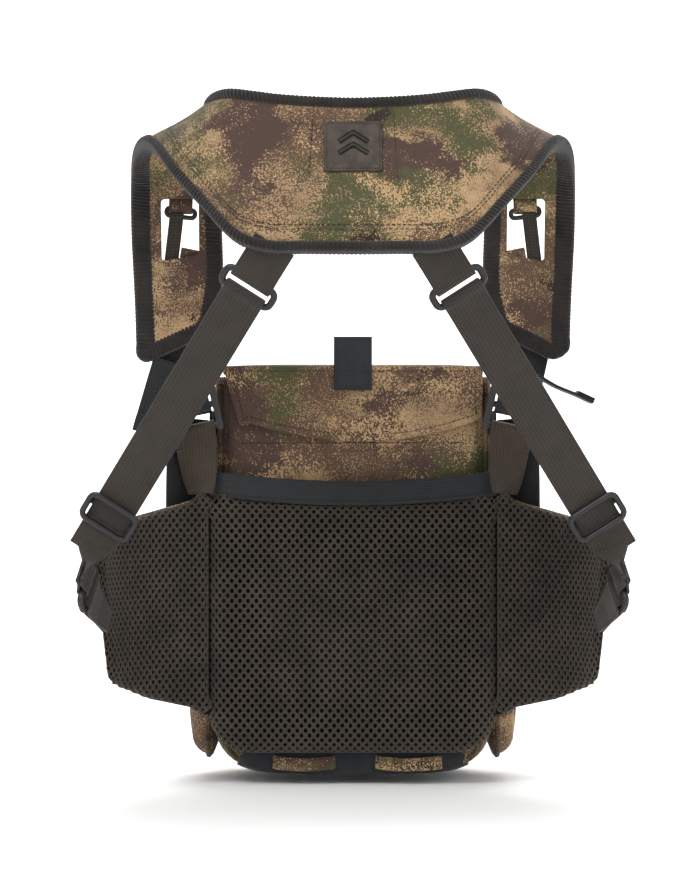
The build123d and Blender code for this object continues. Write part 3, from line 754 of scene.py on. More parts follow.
def pack_ring(z, inset, bulge=0.0):
    """The pack's level outline at a height, drawn in by an inset."""
    corner = PACK_CORNER - inset
    rise = min(max(z - PACK_FOOT - inset, 0.0), corner)
    half = PACK_HALF - inset - corner + np.sqrt(max(corner**2 - (corner - rise) ** 2, 0.0))
    radius = max(min(PACK_EDGE - inset, half - 1), 1.0)
    ring = densify(rectangle(-half, half, PACK_BACK + inset, PACK_FRONT - inset, radius, 6), 4)
    swell = bulge * sin(pi * np.clip((z - PACK_FOOT) / (PACK_HEAD - PACK_FOOT), 0, 1))
    middle = np.sin(pi * np.clip((ring[:, 1] - PACK_BACK) / (PACK_FRONT - PACK_BACK), 0, 1))
    ring[:, 0] += np.sign(ring[:, 0]) * swell * middle * (np.abs(ring[:, 0]) > half - radius)
    return ring


def same_count(ring, count=RING_POINTS):
    """A ring resampled to a fixed number of points, starting from its back middle."""
    closed = np.vstack((ring, ring[:1]))
    travel = travelled(closed)
    start = np.argmin(np.abs(ring[:, 0]) + 10 * (ring[:, 1] - ring[:, 1].min()))
    at = (travel[start] + np.arange(count) / count * travel[-1]) % travel[-1]
    return np.column_stack([np.interp(at, travel, closed[:, k]) for k in range(2)])


def walls(inset, thickness, head, bulge=0.0, step=3.0):
    """An open-topped bag wall as a lump, with a floor and a rounded rim."""
    rings = []
    for extra in (0.0, thickness):
        foot = PACK_FOOT + inset + extra
        curve = foot + (PACK_CORNER - inset - extra) * (1 - np.cos(np.linspace(0, pi / 2, 9)))
        levels = np.concatenate((curve, np.arange(curve[-1] + step, head - 1, step), [head - 0.6]))
        loops = [(same_count(pack_ring(z + 0.01, inset + extra, bulge)), z) for z in levels]
        floor = loops[0][0]
        middle = vec(0, (PACK_BACK + PACK_FRONT) / 2)
        inner = [(middle + (floor - middle) * f, foot) for f in (0.05, 0.4, 0.8)]
        rings.append(inner + loops)
    rim = [(same_count(pack_ring(head, inset + thickness / 2, bulge)), head)]
    order = rings[0] + rim + rings[1][::-1]
    verts = np.vstack([np.column_stack((flat, np.full(len(flat), z))) for flat, z in order])
    faces = closed_tube(len(order), RING_POINTS)
    return verts, faces, verts[:, [0, 2]] * MM


def creased(verts, amount, size=0.02):
    """Small uneven folds, so that cloth doesn't look machined."""
    moved = np.array(verts, float)
    for i, (x, y, z) in enumerate(verts):
        wobble = noise.noise(Vector((x * size, y * size, z * size * 1.8)))
        fine = noise.noise(Vector((x * size * 3, y * size * 3 + 40, z * size * 4)))
        moved[i, 1] += amount * (wobble + 0.35 * fine)
    return moved


def pack_body():
    verts, faces, uvs = walls(0.0, 2.0, PACK_HEAD, 2.0)
    verts = creased(verts, 0.7)
    groove = np.exp(-(((verts[:, 2] - SEAM_HEIGHT) / 1.1) ** 2)) * (verts[:, 1] < PACK_BACK + 3)
    verts[:, 1] += 0.8 * groove
    fit("pack_shell_cloth", [(verts, faces, uvs)], CAMO, "harness", "camo_fabric", "pack_shell")
    fit(
        "pack_lining", [walls(2.3, 3.6, PACK_HEAD - 1.0)], LINING, "harness", "padding_foam", "foam_liner"
    )
    line = np.array([(x, PACK_BACK - 0.15, SEAM_HEIGHT + 3.2) for x in (-70, 70)])
    rows = stitch_lumps(line, TO_WEARER, 2.9, 2.1, 0.25)
    for side in (-1, 1):
        seam = np.array([(side * 76.5, PACK_BACK + 0.3, z) for z in (-60, 145)])
        rows.extend(stitch_lumps(seam, TO_WEARER, 2.9, 2.1, 0.25))
    fit("pack_stitches", rows, DARK_THREAD, "harness", "camo_fabric")
    piping = []
    bends = ((3.2, 146), (3.2, 60), (3.2, -30), (3.2, -62), (6.5, -76), (14, -86))
    for side in (-1, 1):
        for level in (PACK_BACK + 2.6, PACK_FRONT - 2.6):
            line = [(side * (PACK_HALF - inset), level, z) for inset, z in bends]
            piping.append(sweep(curve_through(line, 3), OUTWARD, oval_profile(3.2, 3.2, 10)))
    fit("pack_piping", piping, CAMO_PAINTED_SHADE, "harness", "camo_fabric")


def base():
    """The black boot round the pack's foot: higher in the middle of the back than at the corners."""
    levels = 12
    verts = []
    for skin, extra in ((-1.3, 0), (-0.1, 1)):
        for k in np.linspace(0, 1, levels) if not extra else np.linspace(1, 0, levels):
            full = same_count(pack_ring(PACK_FOOT + 30, skin))
            top = -79.5 - 1.15 * np.maximum(np.abs(full[:, 0]) - 68, 0)
            foot = PACK_FOOT + skin
            top = np.maximum(top, foot + 3)
            height = foot + (top - foot) * k**1.5
            ring = np.array([same_count(pack_ring(z + 0.02, skin))[i] for i, z in enumerate(height)])
            sag = 1.6 * np.clip(1 - (ring[:, 0] / 72) ** 2, 0, 1) * (1 - k) ** 0.6 if skin < -1 else 0
            verts.append(np.column_stack((ring, height - sag)))
    grid = np.vstack(verts)
    faces = closed_tube(2 * levels, RING_POINTS)
    boot = joined("base_boot", [(grid, faces, grid[:, [0, 2]] * MM)], BASE_CLOTH)
    settle(boot, "harness", "base_fabric", "base_panel")
    lumps = []
    for left, right in ((-49.5, -10.5), (13.5, 55.0)):
        bow = [(left + 1, 17.2, -87.2), (left + 3, 14.4, -87.6), ((left + right) / 2, 12.6, -88.6)]
        bow += [(right - 3, 14.4, -87.6), (right - 1, 17.2, -87.2)]
        lumps.append(sweep(curve_through(bow, 1.5), vec(0, 0.1, 1), flat_profile(8.4, 1.8)))
    fit("base_loop_pair", lumps, CAMO, "harness", "camo_fabric", "base_loops")


def pockets():
    """Front and side pockets: padded fronts with a hem at the mouth and piping round the foot."""
    front = rounded([(-60, -76, 18), (60, -76, 18), (60, 62, 2), (-60, 62, 2)])
    facing = plane((0, 119, 0), (-1, 0, 0), (0, 0, 1))
    body = joined("front_pocket_cloth", [slab(densify(front, 5), facing, 13.0, 7.0, 3.0)], CAMO)
    settle(body, "harness", "camo_fabric", "front_pocket")
    hem_path = [(x, 116.5 - 1.6 * abs(x / 57) ** 6, 57.5) for x in np.linspace(-57, 57, 25)]
    hem_lump = sweep(curve_through(hem_path, 3), UPWARD, flat_profile(8.0, 1.4))
    fit("front_pocket_hem", [hem_lump], CAMO_PAINTED_SHADE, "harness", "camo_fabric")
    rows = []
    for height in (54.6, 60.4):
        line = [(x, 117.35 - 1.6 * abs(x / 57) ** 6, height) for x in np.linspace(-56, 56, 25)]
        rows.extend(stitch_lumps(np.array(line), OUTWARD, 3.0, 2.2, 0.25))
    fit("front_pocket_stitches", rows, DARK_THREAD, "harness", "camo_fabric")
    edge = densify(rectangle(-96, -30, -86, 40, 16), 5)
    outward_view = plane((-103.0, 0, 0), (0, -1, 0), (0, 0, 1))
    pocket = joined("left_side_pocket_cloth", [slab(edge, outward_view, 17.6, 13.0, 2.5)], CAMO)
    settle_pair(pocket, "harness", "camo_fabric", "SIDE_side_pocket")
    foot = from_gap(edge[edge[:, 1] < 30])
    cord_path = np.column_stack((np.full(len(foot), -90.0), -foot[:, 0], foot[:, 1]))
    cord_lump = sweep(cord_path, SIDEWAYS, oval_profile(3.6, 3.6, 10))
    fit_pair("left_side_pocket_piping", [cord_lump], CAMO_PAINTED_SHADE, "harness", "camo_fabric")
    elastic = [(-99.6, y, 35.0) for y in (88, 63, 38)]
    band = sweep(curve_through(elastic, 3), UPWARD, flat_profile(7, 1.6))
    fit_pair("left_side_pocket_elastic", [band], ELASTIC, "harness", "elastic_band")


# ---- lid -------------------------------------------------------------------------------------------
LID_HALF, LID_BACK, LID_FRONT, LID_TOP = 80.0, 13.0, 105.0, 157.0


def skirt_outline():
    """The flap over the back: slanted sides and a lower edge that sags."""
    sag = [(x, 110.0 + 0.0024 * (x - 8) ** 2 * (0.9 if x < 8 else 1.15)) for x in np.linspace(-64, 74, 12)]
    corners = [(-LID_HALF, LID_TOP - 0.4, 2.0), (-69.5, 117.5, 3.0)]
    corners += [(x, z, 0) for x, z in sag]
    corners += [(LID_HALF - 0.5, 124.5, 3.0), (LID_HALF, LID_TOP - 0.4, 2.0)]
    return densify(rounded(corners, 5), 4)


def lid():
    outline = densify(rectangle(-LID_HALF, LID_HALF, LID_BACK, LID_FRONT, 5), 5)
    top_view = plane((0, 0, LID_TOP + 1.2), (1, 0, 0), (0, 1, 0))
    top = joined("lid_top", [slab(outline, top_view, 7.4, 3.0, 1.6)], CAMO)
    settle(top, "lid", "camo_fabric", "lid_shell", "lid_foam")
    skirt_verts, faces, uvs = slab(skirt_outline(), plane((0, LID_BACK, 0), RIGHT, UP), 3.0, 1.2)
    skirt_verts = creased(skirt_verts, 0.5, 0.03)
    fit("lid_skirt", [(skirt_verts, faces, uvs)], CAMO, "lid", "camo_fabric")
    edge = skirt_outline()
    inner = edge - outward(edge) * 4.2
    low = from_gap(inner[inner[:, 1] < LID_TOP - 8])
    line = np.column_stack((low[:, 0], np.full(len(low), LID_BACK - 0.1), low[:, 1]))
    rim = np.column_stack((np.linspace(-76, 76, 40), np.full(40, LID_BACK - 0.1), np.full(40, LID_TOP - 3.6)))
    rows = [lump for path in (line, rim) for lump in stitch_lumps(path, TO_WEARER, 3.0, 2.2, 0.26)]
    fit("lid_stitches", rows, DARK_THREAD, "lid", "camo_fabric")
    under = plane((0, 0, LID_TOP - 6.3), (1, 0, 0), (0, -1, 0))
    flat = densify(rectangle(-LID_HALF + 4, LID_HALF - 4, -LID_FRONT + 5, -LID_BACK - 5, 4), 5)
    fit("lid_lining", [slab(flat, under, 1.2, 0.5)], LINING, "lid", "padding_foam")


def pull_tab():
    """A folded tab sewn to the skirt, reaching up past the lid's edge."""
    path = [(0, 11.6, 141.5), (0, 11.5, 150), (0, 11.5, 158), (0, 11.5, 166), (0, 11.5, 174.5)]
    tab = strap("pull_tab_cloth", path, SIDEWAYS, 23.5, 2.3, TAB_CLOTH)
    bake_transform(tab)
    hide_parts("tab_anchor", "pull_tab")
    box = np.array([(-9.6, 10.3, 143.5), (9.6, 10.3, 143.5), (9.6, 10.3, 153.5), (-9.6, 10.3, 153.5)])
    rows = stitch_lumps(np.vstack((box, box[:1])), TO_WEARER, 2.6, 1.9, 0.24)
    fit("pull_tab_stitches", rows, DARK_THREAD, "lid", "black_webbing")


# ---- yoke ------------------------------------------------------------------------------------------
# Stations along the yoke from the middle of the back, over the shoulder, to the end of the arm:
# each is a point on the outer edge and one on the neck edge.
YOKE_STATIONS = [
    ((0, -168, 215), (0, -141, 302)),
    ((-25, -168, 215.2), (-20, -140.8, 302.6)),
    ((-47, -168, 215.6), (-40, -140, 304)),
    ((-65, -164, 222), (-56, -135, 306.5)),
    ((-84, -150, 242), (-68, -127, 308.5)),
    ((-99.5, -134, 259), (-76, -112, 307.5)),
    ((-113.5, -105, 277), (-80, -90, 305.5)),
    ((-123, -75, 283), (-82, -62, 300)),
    ((-130, -50, 278), (-82, -38, 286)),
    ((-133, -27, 262), (-80.5, -21, 262)),
    ((-133.5, -16, 235), (-79.5, -14, 233)),
    ((-132.3, -12, 205), (-79.5, -11, 207)),
    ((-130.4, -10, 162), (-84, -10, 184)),
]
YOKE_HALF_THICK = 4.0
BINDING_HALF = 3.5
RIB_PITCH, RIB_DEPTH = 2.4, 1.0
WINDOW = [(-116, 219, 2.5), (-93, 223.5, 2.5), (-93, 256.5, 2.5), (-116, 256.5, 2.5)]


def yoke_rows(step):
    """Left arm's end to right arm's end, as rows of outer edge, neck edge and place along the stations."""
    left = np.array([list(outer) + list(neck) + [k] for k, (outer, neck) in enumerate(YOKE_STATIONS)], float)
    right = left * vec(-1, 1, 1, -1, 1, 1, -1)
    return curve_through(np.vstack((left[::-1], right[1:])), step)


def yoke_point(rows, across, lift):
    """A point between the edges of each row, lifted off the middle surface towards the outside."""
    outer, neck = rows[:, :3], rows[:, 3:6]
    middle = outer + (neck - outer) * across
    heading = tangents(middle)
    facing = unit(np.cross(heading, unit(neck - outer)))
    return middle + facing * lift, facing


def yoke():
    rows = yoke_rows(4.0)
    share = np.linspace(0, 1, 31)
    puff = 1.6 + (YOKE_HALF_THICK - 1.6) * (1 - np.abs(2 * share - 1) ** 6)
    verts = []
    for sign in (1, -1):
        for across, thick in zip(share, puff):
            inset = 0.035 + across * 0.93
            verts.append(yoke_point(rows, inset, sign * thick)[0])
    grid = np.array(verts).reshape(2, 31, len(rows), 3)
    loop = np.concatenate((grid[0], grid[1][::-1]))
    verts = loop.reshape(-1, 3)
    faces = grid_faces(62, len(rows), along=True)
    for end in (0, len(rows) - 1):
        for k in range(30):
            a, b = k * len(rows) + end, (k + 1) * len(rows) + end
            c, d = (61 - k) * len(rows) + end, (60 - k) * len(rows) + end
            faces.append((a, b, d, c))
    lump = (creased(verts, 0.9, 0.016), faces, verts[:, [0, 2]] * MM)
    panel = joined("shoulder_yoke_cloth", [lump], CAMO)
    for flip in (1, -1):
        hole = rounded([(x * flip, z, r) for x, z, r in WINDOW], 5)
        cut_view = plane((0, -60, 0), RIGHT, UP)
        prism = np.vstack((cut_view(hole, 0.0), cut_view(hole, 75.0)))
        count = len(hole)
        sides = grid_faces(2, count, around=True) + [tuple(range(count)), tuple(range(count, 2 * count))]
        cutter = make_piece("window_cutter", prism, sides, CAMO)
        cut = panel.modifiers.new("window", "BOOLEAN")
        cut.operation = "DIFFERENCE"
        cut.solver = "EXACT"
        cut.object = cutter
        bpy.context.view_layer.update()
        result = bpy.data.meshes.new_from_object(panel.evaluated_get(bpy.context.evaluated_depsgraph_get()))
        panel.modifiers.clear()
        panel.data = result
        bpy.data.objects.remove(cutter)
    settle(panel, "harness", "camo_fabric", "shoulder_yoke")


def yoke_binding():
    """Ribbed knit binding: one closed run round the outer edge, the arm ends and the neck edge."""
    rows = yoke_rows(4.0)
    wide = np.clip((np.abs(rows[:, 6]) - 6.5) / 2.5, 0, 1)
    across = unit(rows[:, 3:6] - rows[:, :3])
    runs = []
    for edge, side, widening in ((rows[:, :3], across, 3.4), (rows[:, 3:6], -across, 2.6)):
        half = BINDING_HALF - 0.4 + widening * wide
        runs.append(np.column_stack((edge + side * (half - 0.6)[:, None], side, half)))
    outer, neck = runs[0], runs[1][::-1]
    corners = []
    for run, following in ((outer, neck), (neck, outer)):
        last, first = run[-1], following[0]
        back = unit(run[-1, :3] - run[-3, :3])
        for share in (0.12, 0.34, 0.66, 0.88):
            point = last[:3] + (first[:3] - last[:3]) * share
            side = unit(-back * 1.0 + last[3:6] * (0.5 - share) * 0.6)
            corners.append(np.concatenate((point + back * 1.2, side, [5.6])))
    loop = np.vstack((outer[:-1], corners[:4], neck[1:-1], corners[4:]))
    loop = curve_through(loop, 0.45, closed=True)
    path, side, half = loop[:, :3], loop[:, 3:6], loop[:, 6]
    travel = travelled(path)
    total = travel[-1] + np.linalg.norm(path[0] - path[-1])
    ribs = round(total / RIB_PITCH)
    angle = np.arange(20) * 2 * pi / 20
    square = lambda v: np.sign(v) * np.abs(v) ** 0.62
    phase = pi * ribs * travel[:, None] / total + 1.5 * np.cos(angle)[None]
    sunk = RIB_DEPTH * (1 - np.abs(np.sin(phase))) ** 1.3
    reach = half[:, None] - 0.3 * sunk * (np.cos(angle) < 0)
    shape = np.stack((square(np.cos(angle)) * reach, square(np.sin(angle)) * (5.2 - sunk)), -1)
    binding = joined("yoke_binding_knit", [sweep(path, side, shape, closed=True)], KNIT, 80)
    nodes = ("outer_binding", "neck_binding", "left_arm_hem", "right_arm_hem")
    settle(binding, "harness", "knit_binding", *nodes)


def yoke_sewing():
    """Rows of stitches on the crescent: beside the slanted edges and down from the neck edge."""
    rows = yoke_rows(2.0)
    lumps = []
    for inset in (12.0, 14.6):
        near = rows[(np.abs(rows[:, 6]) < 6.2)]
        width = np.linalg.norm(near[:, 3:6] - near[:, :3], axis=1)
        point, facing = yoke_point(near, (inset / width)[:, None], YOKE_HALF_THICK * 1.02)
        lumps.extend(stitch_lumps(point, facing, 3.0, 2.2, 0.26))
    for x in (-24.0, 24.0):
        column = []
        for drop in (8.0, 20.0, 35.0, 50.0):
            k = np.argmin(np.abs(rows[:, 0] * 0.4 + rows[:, 3] * 0.6 - x))
            width = np.linalg.norm(rows[k, 3:6] - rows[k, :3])
            column.append(yoke_point(rows[k - 1 : k + 2], 1 - drop / width, YOKE_HALF_THICK * 1.04))
        path = np.array([point[1] for point, facing in column])
        lumps.extend(stitch_lumps(path, column[1][1][1], 2.8, 2.1, 0.26))
    fit("yoke_stitches", lumps, DARK_THREAD, "harness", "camo_fabric")


def patch():
    """A leatherette square with a sewn border and two plain chevrons in place of a mark."""
    foot, head = vec(*YOKE_STATIONS[0][0]), vec(*YOKE_STATIONS[0][1])
    up = unit(head - foot)
    right = SIDEWAYS
    facing = np.cross(right, up)
    centre = foot + up * 61 + facing * (YOKE_HALF_THICK + 1.9)
    view = plane(centre, right, up)
    outline = densify(rectangle(-16.3, 16.3, -15, 15, 1.5, 4), 3)
    fit("patch_leather", [slab(outline, view, 2.0, 0.6)], LEATHER, "harness", "patch_leather", "patch")
    lumps = []
    for level in (-4.5, 2.5):
        bend = [(-8.0, level), (0.0, level + 5.5), (8.0, level)]
        path = densify(view(bend, -0.1), 1.0, closed=False)
        lumps.append(sweep(path, facing, flat_profile(1.2, 2.6)))
    fit("patch_chevrons", lumps, LEATHER_DARK, "harness", "patch_leather")
    border = view(densify(rectangle(-14.8, 14.8, -13.5, 13.5, 1.0, 3), 1.0), 0.05)
    rows = stitch_lumps(np.vstack((border, border[:1])), facing, 2.2, 1.6, 0.24)
    fit("patch_stitches", rows, DARK_THREAD, "harness", "patch_leather")


def window_hardware():
    """In each arm's window: a fabric tab over a plastic ring, and a narrow strip down to the foot."""
    fold = ((-13.5, 259), (-19.2, 257), (-20.4, 251.5), (-18.2, 247.9), (-15.6, 251.5), (-12, 257))
    tab_path = [(-104, y, z) for y, z in fold]
    tab = strap("left_window_tab_cloth", tab_path, SIDEWAYS, 14.0, 1.2, CAMO, 0.8)
    settle_pair(tab, "harness", "camo_fabric", "SIDE_window_tab")
    ring_line = rectangle(-8.6, 8.6, -2.4, 2.4, 2.2, 6)
    path = plane((-104, -18, 248.2), (1, 0, -0.12), (0.12, 0, 1))(densify(ring_line, 1.0), 0.0)
    bar = sweep(path, OUTWARD, oval_profile(3.3, 3.0, 10), closed=True)
    fit_pair("left_window_ring_bar", [bar], PLASTIC, "harness", "buckle_plastic", "SIDE_window_ring")
    strip_path = [(-106.3, -18.8, 249.5), (-106.4, -20.2, 246.6), (-106.8, -18.4, 243.6)]
    strip_path += [(-108.3, -16.0, 232), (-109.9, -14.0, 219.5), (-110.6, -12, 215)]
    strip = strap("left_window_strip", strip_path, SIDEWAYS, 8.6, 1.4, STRAP, 0.8)
    settle_pair(strip, "harness", "black_webbing", "SIDE_window_webbing")
    flap = [(-99.0, -11.6, 218.5), (-98.8, -14.6, 221.5), (-97.8, -15.4, 226.5)]
    lower = strap("left_window_flap", flap, vec(1, 0, 0.25), 12.0, 1.3, CAMO, 0.8)
    settle_pair(lower, "harness", "camo_fabric")


# ---- rings, sliders and straps ---------------------------------------------------------------------
WEB_WIDTH, WEB_THICK = 25.0, 1.7
RING_LONG, RING_SHORT, RING_BAR = 35.0, 14.5, 4.0
YOKE_EXIT, YOKE_RING = vec(-46, -168, 215.5), vec(-58.3, -158, 196.2)
SLIDER, WING_RING, WING_ROOT = vec(-140, -92, 68), vec(-154.5, -78, 26), vec(-148.5, -51, 0)
RUN = unit(SLIDER - YOKE_RING)
ACROSS = unit(vec(-RUN[2], 0, RUN[0]))
FACING = np.cross(RUN, ACROSS)
BAR_REACH = (RING_SHORT - RING_BAR) / 2
TIP_PULL = unit(WING_RING - WING_ROOT)
TIP_FACING = unit(np.cross(np.cross(vec(-0.966, 0.26, 0), TIP_PULL), TIP_PULL))
TIP_ACROSS = np.cross(TIP_PULL, TIP_FACING)


def bent_round(bar, away, normal, near=7.0):
    """Points of webbing that comes from a distance, turns round a bar and goes back, on both sides of it."""
    radius = RING_BAR / 2 + 0.3 + WEB_THICK / 2
    angles = np.radians((75, 40, 0, -40, -75))
    turn = [bar - away * radius * cos(a) + normal * radius * sin(a) for a in angles]
    return [bar + away * near + normal * 1.0] + turn + [bar + away * near - normal * 1.0]


def ring_piece(name, centre, across, facing):
    """An oblong moulded ring with a round bar."""
    half_long, half_short = (RING_LONG - RING_BAR) / 2, (RING_SHORT - RING_BAR) / 2
    line = rectangle(-half_long, half_long, -half_short, half_short, 3.6, 7)
    path = plane(centre, across, np.cross(facing, across))(densify(line, 1.5), 0.0)
    return joined(name, [sweep(path, facing, oval_profile(RING_BAR, RING_BAR, 14), closed=True)], PLASTIC)


def harness_straps():
    anchor = bent_round(YOKE_RING - RUN * BAR_REACH, unit(YOKE_EXIT - RUN * 9 - YOKE_RING), FACING)
    root = YOKE_EXIT - RUN * 4 - FACING * 3.0
    path = [root + FACING * 0.9] + anchor + [root - FACING * 0.9]
    loop = strap("left_anchor_loop", path, ACROSS, WEB_WIDTH, WEB_THICK, STRAP)
    settle_pair(loop, "harness", "strap_webbing", "SIDE_yoke_anchor")
    ring = ring_piece("left_yoke_ring_bar", YOKE_RING, ACROSS, FACING)
    settle_pair(ring, "harness", "buckle_plastic", "SIDE_yoke_ring")
    bar = YOKE_RING + RUN * BAR_REACH
    eye = bent_round(bar, RUN, FACING)[::-1]
    ply = FACING * 0.95
    rear = [place - ply for place in (SLIDER + RUN * 13, SLIDER, bar + RUN * 90, bar + RUN * 30)]
    front = [place + ply for place in (bar + RUN * 30, bar + RUN * 90, SLIDER)]
    front.append(SLIDER + RUN * 12 + FACING * 0.8)
    tip_bar = WING_RING + TIP_PULL * BAR_REACH
    tip_eye = bent_round(tip_bar, TIP_PULL, TIP_FACING, 6.0)
    line = rear + eye + front
    across = [ACROSS] * len(line)
    widths = [WEB_WIDTH] * len(line)
    leave, arrive = SLIDER + RUN * 17 + FACING * 0.5, tip_bar + TIP_PULL * 7 + TIP_FACING * 1.0
    for share, width in ((0, 25), (0.2, 23), (0.4, 19), (0.6, 16), (0.8, 16), (1, 17)):
        ease = share * share * (3 - 2 * share)
        line.append(leave + (arrive - leave) * share)
        across.append(unit(ACROSS * cos(pi / 2 * ease) - TIP_ACROSS * sin(pi / 2 * ease)))
        widths.append(width)
    across += [-TIP_ACROSS] * (len(tip_eye) + 1)
    widths += [19] * (len(tip_eye) + 1)
    line += tip_eye + [tip_bar + TIP_PULL * 10 - TIP_FACING * 1.2]
    whole = strap("left_diagonal_webbing", line, across, widths, WEB_THICK, STRAP)
    cuff_line = [SLIDER + RUN * along + FACING * 2.5 for along in (6, 14, 22, 27)]
    cuff = strap("left_strap_cuff", cuff_line, ACROSS, WEB_WIDTH, WEB_THICK, STRAP)
    start, end = SLIDER + RUN * 12, tip_bar + TIP_PULL * 5
    blend_pair(cuff, "SIDE_wing_body", start, end, "strap_webbing")
    nodes = ("SIDE_diagonal_strap", "SIDE_strap_end")
    blend_pair(whole, "SIDE_wing_body", start, end, "strap_webbing", *nodes)


def slider_piece():
    """Tri-glide: a rounded frame in front of the strap and a ribbed bar behind it."""
    lift = WEB_THICK + 0.5 + 2.0
    line = rectangle(-15.2, 15.2, -8.45, 8.45, 4.2, 7)
    path = plane(SLIDER + FACING * lift, ACROSS, np.cross(FACING, ACROSS))(densify(line, 1.5), 0.0)
    lumps = [sweep(path, FACING, oval_profile(3.8, 3.6, 14), closed=True)]
    for end in (-1, 1):
        post = [SLIDER + ACROSS * end * 15.1 + FACING * h for h in (lift, 0, -lift)]
        lumps.append(sweep(curve_through(post, 1.5), ACROSS, oval_profile(3.0, 7.0, 12)))
    bar = [SLIDER + ACROSS * x - FACING * (lift - 0.1) for x in (-16.2, 0, 16.2)]
    path = curve_through(bar, 0.6)
    ribs = 1 + 0.06 * np.sin(np.arange(len(path)) * 1.6)[:, None, None]
    lumps.append(sweep(path, FACING, oval_profile(3.4, 5.4, 12)[None] * ribs))
    return joined("left_slider_frame", lumps, PLASTIC)


def wing_tips():
    settle_pair(slider_piece(), "SIDE_slider_body", "buckle_plastic", "SIDE_slider")
    ring = ring_piece("left_wing_ring_bar", WING_RING, TIP_ACROSS, TIP_FACING)
    settle_pair(ring, "SIDE_wing_body", "buckle_plastic", "SIDE_wing_ring")
    eye = bent_round(WING_RING - TIP_PULL * BAR_REACH, -TIP_PULL, TIP_FACING, 6.0)
    root = WING_ROOT + TIP_PULL * 5 + vec(4, 2, 0)
    path = [root + TIP_FACING * 1.0] + eye[::-1] + [root - TIP_FACING * 1.0]
    widths = [15] + [WEB_WIDTH] * len(eye) + [15]
    loop = strap("left_wing_tip_webbing", path, TIP_ACROSS, widths, WEB_THICK, STRAP)
    settle_pair(loop, "SIDE_wing_body", "strap_webbing", "SIDE_wing_webbing")


# ---- front straps and ladder locks -----------------------------------------------------------------
ARM_EXIT, LOCK = vec(-108, -7, 170), vec(-99, 3.5, 128)
FRONT_RUN = unit(LOCK - ARM_EXIT)
LOCK_ACROSS = unit(vec(FRONT_RUN[2], 0, -FRONT_RUN[0]))
LOCK_OUT = np.cross(LOCK_ACROSS, -FRONT_RUN)
LOCK_UP = np.cross(LOCK_OUT, LOCK_ACROSS)
PAD_CORNER, PAD_ACROSS = vec(-93, 6, 78), unit(vec(0.62, -0.78, 0))
ANCHOR_BAR, GRIP_BAR = LOCK - LOCK_UP * 11.5, LOCK + LOCK_UP * 2.5


def lock_straps():
    bight = RING_BAR / 2 + 0.3 + WEB_THICK / 2
    lane = GRIP_BAR + LOCK_UP * 16 - LOCK_OUT * bight
    root = ARM_EXIT - FRONT_RUN * 8
    path = [root, ARM_EXIT, (ARM_EXIT + lane) / 2, lane]
    front = strap("left_front_webbing", path, LOCK_ACROSS, WEB_WIDTH, WEB_THICK, BLACK_STRAP)
    settle_pair(front, "harness", "black_webbing", "SIDE_front_strap")
    path = [GRIP_BAR + LOCK_UP * 14 - LOCK_OUT * bight]
    for a in np.radians((80, 40, 0, -40, -80)):
        path.append(GRIP_BAR - (LOCK_UP * cos(a) + LOCK_OUT * sin(a)) * bight)
    path.append(GRIP_BAR - LOCK_UP * 6 + LOCK_OUT * (bight + 0.6))
    inside = strap("left_lock_webbing", path, LOCK_ACROSS, WEB_WIDTH, WEB_THICK, BLACK_STRAP)
    settle_pair(inside, "SIDE_lock_body", "black_webbing", "SIDE_lock_bight")
    pull = unit(PAD_CORNER - ANCHOR_BAR)
    eye = bent_round(ANCHOR_BAR, pull, np.cross(pull, LOCK_ACROSS), 6.0)
    line = [ANCHOR_BAR + pull * 12] + eye + [ANCHOR_BAR + pull * 15, PAD_CORNER - pull * 9, PAD_CORNER]
    across = [-LOCK_ACROSS] * (len(eye) + 1)
    across += [unit(-LOCK_ACROSS * 3 + PAD_ACROSS), unit(-LOCK_ACROSS + PAD_ACROSS * 2), PAD_ACROSS]
    loop = strap("left_lock_loop_webbing", line, across, WEB_WIDTH, WEB_THICK, LOOP_STRAP)
    settle_pair(loop, "harness", "strap_webbing", "SIDE_lock_loop")
    leg = [(-86.2, 30, 121), (-86.8, 24, 121), (-87.6, 17, 121)]
    side = strap("left_side_anchor_webbing", leg, UPWARD, 16, WEB_THICK, STRAP)
    settle_pair(side, "harness", "strap_webbing", "SIDE_side_anchor")


def hemmed_tail(name, path, across, material):
    """A loose end: webbing with its foot folded over and sewn."""
    rows = curve_through(np.hstack((np.asarray(path), np.asarray(across))), 1.5)
    lumps = [sweep(rows[:, :3], rows[:, 3:], flat_profile(WEB_WIDTH, WEB_THICK))]
    last = rows[-8:]
    normal = np.cross(unit(last[-1, :3] - last[0, :3]), unit(last[0, 3:]))
    lumps.append(sweep(last[:, :3] + normal * WEB_THICK, last[:, 3:], flat_profile(WEB_WIDTH, WEB_THICK)))
    return joined(name, lumps, material)


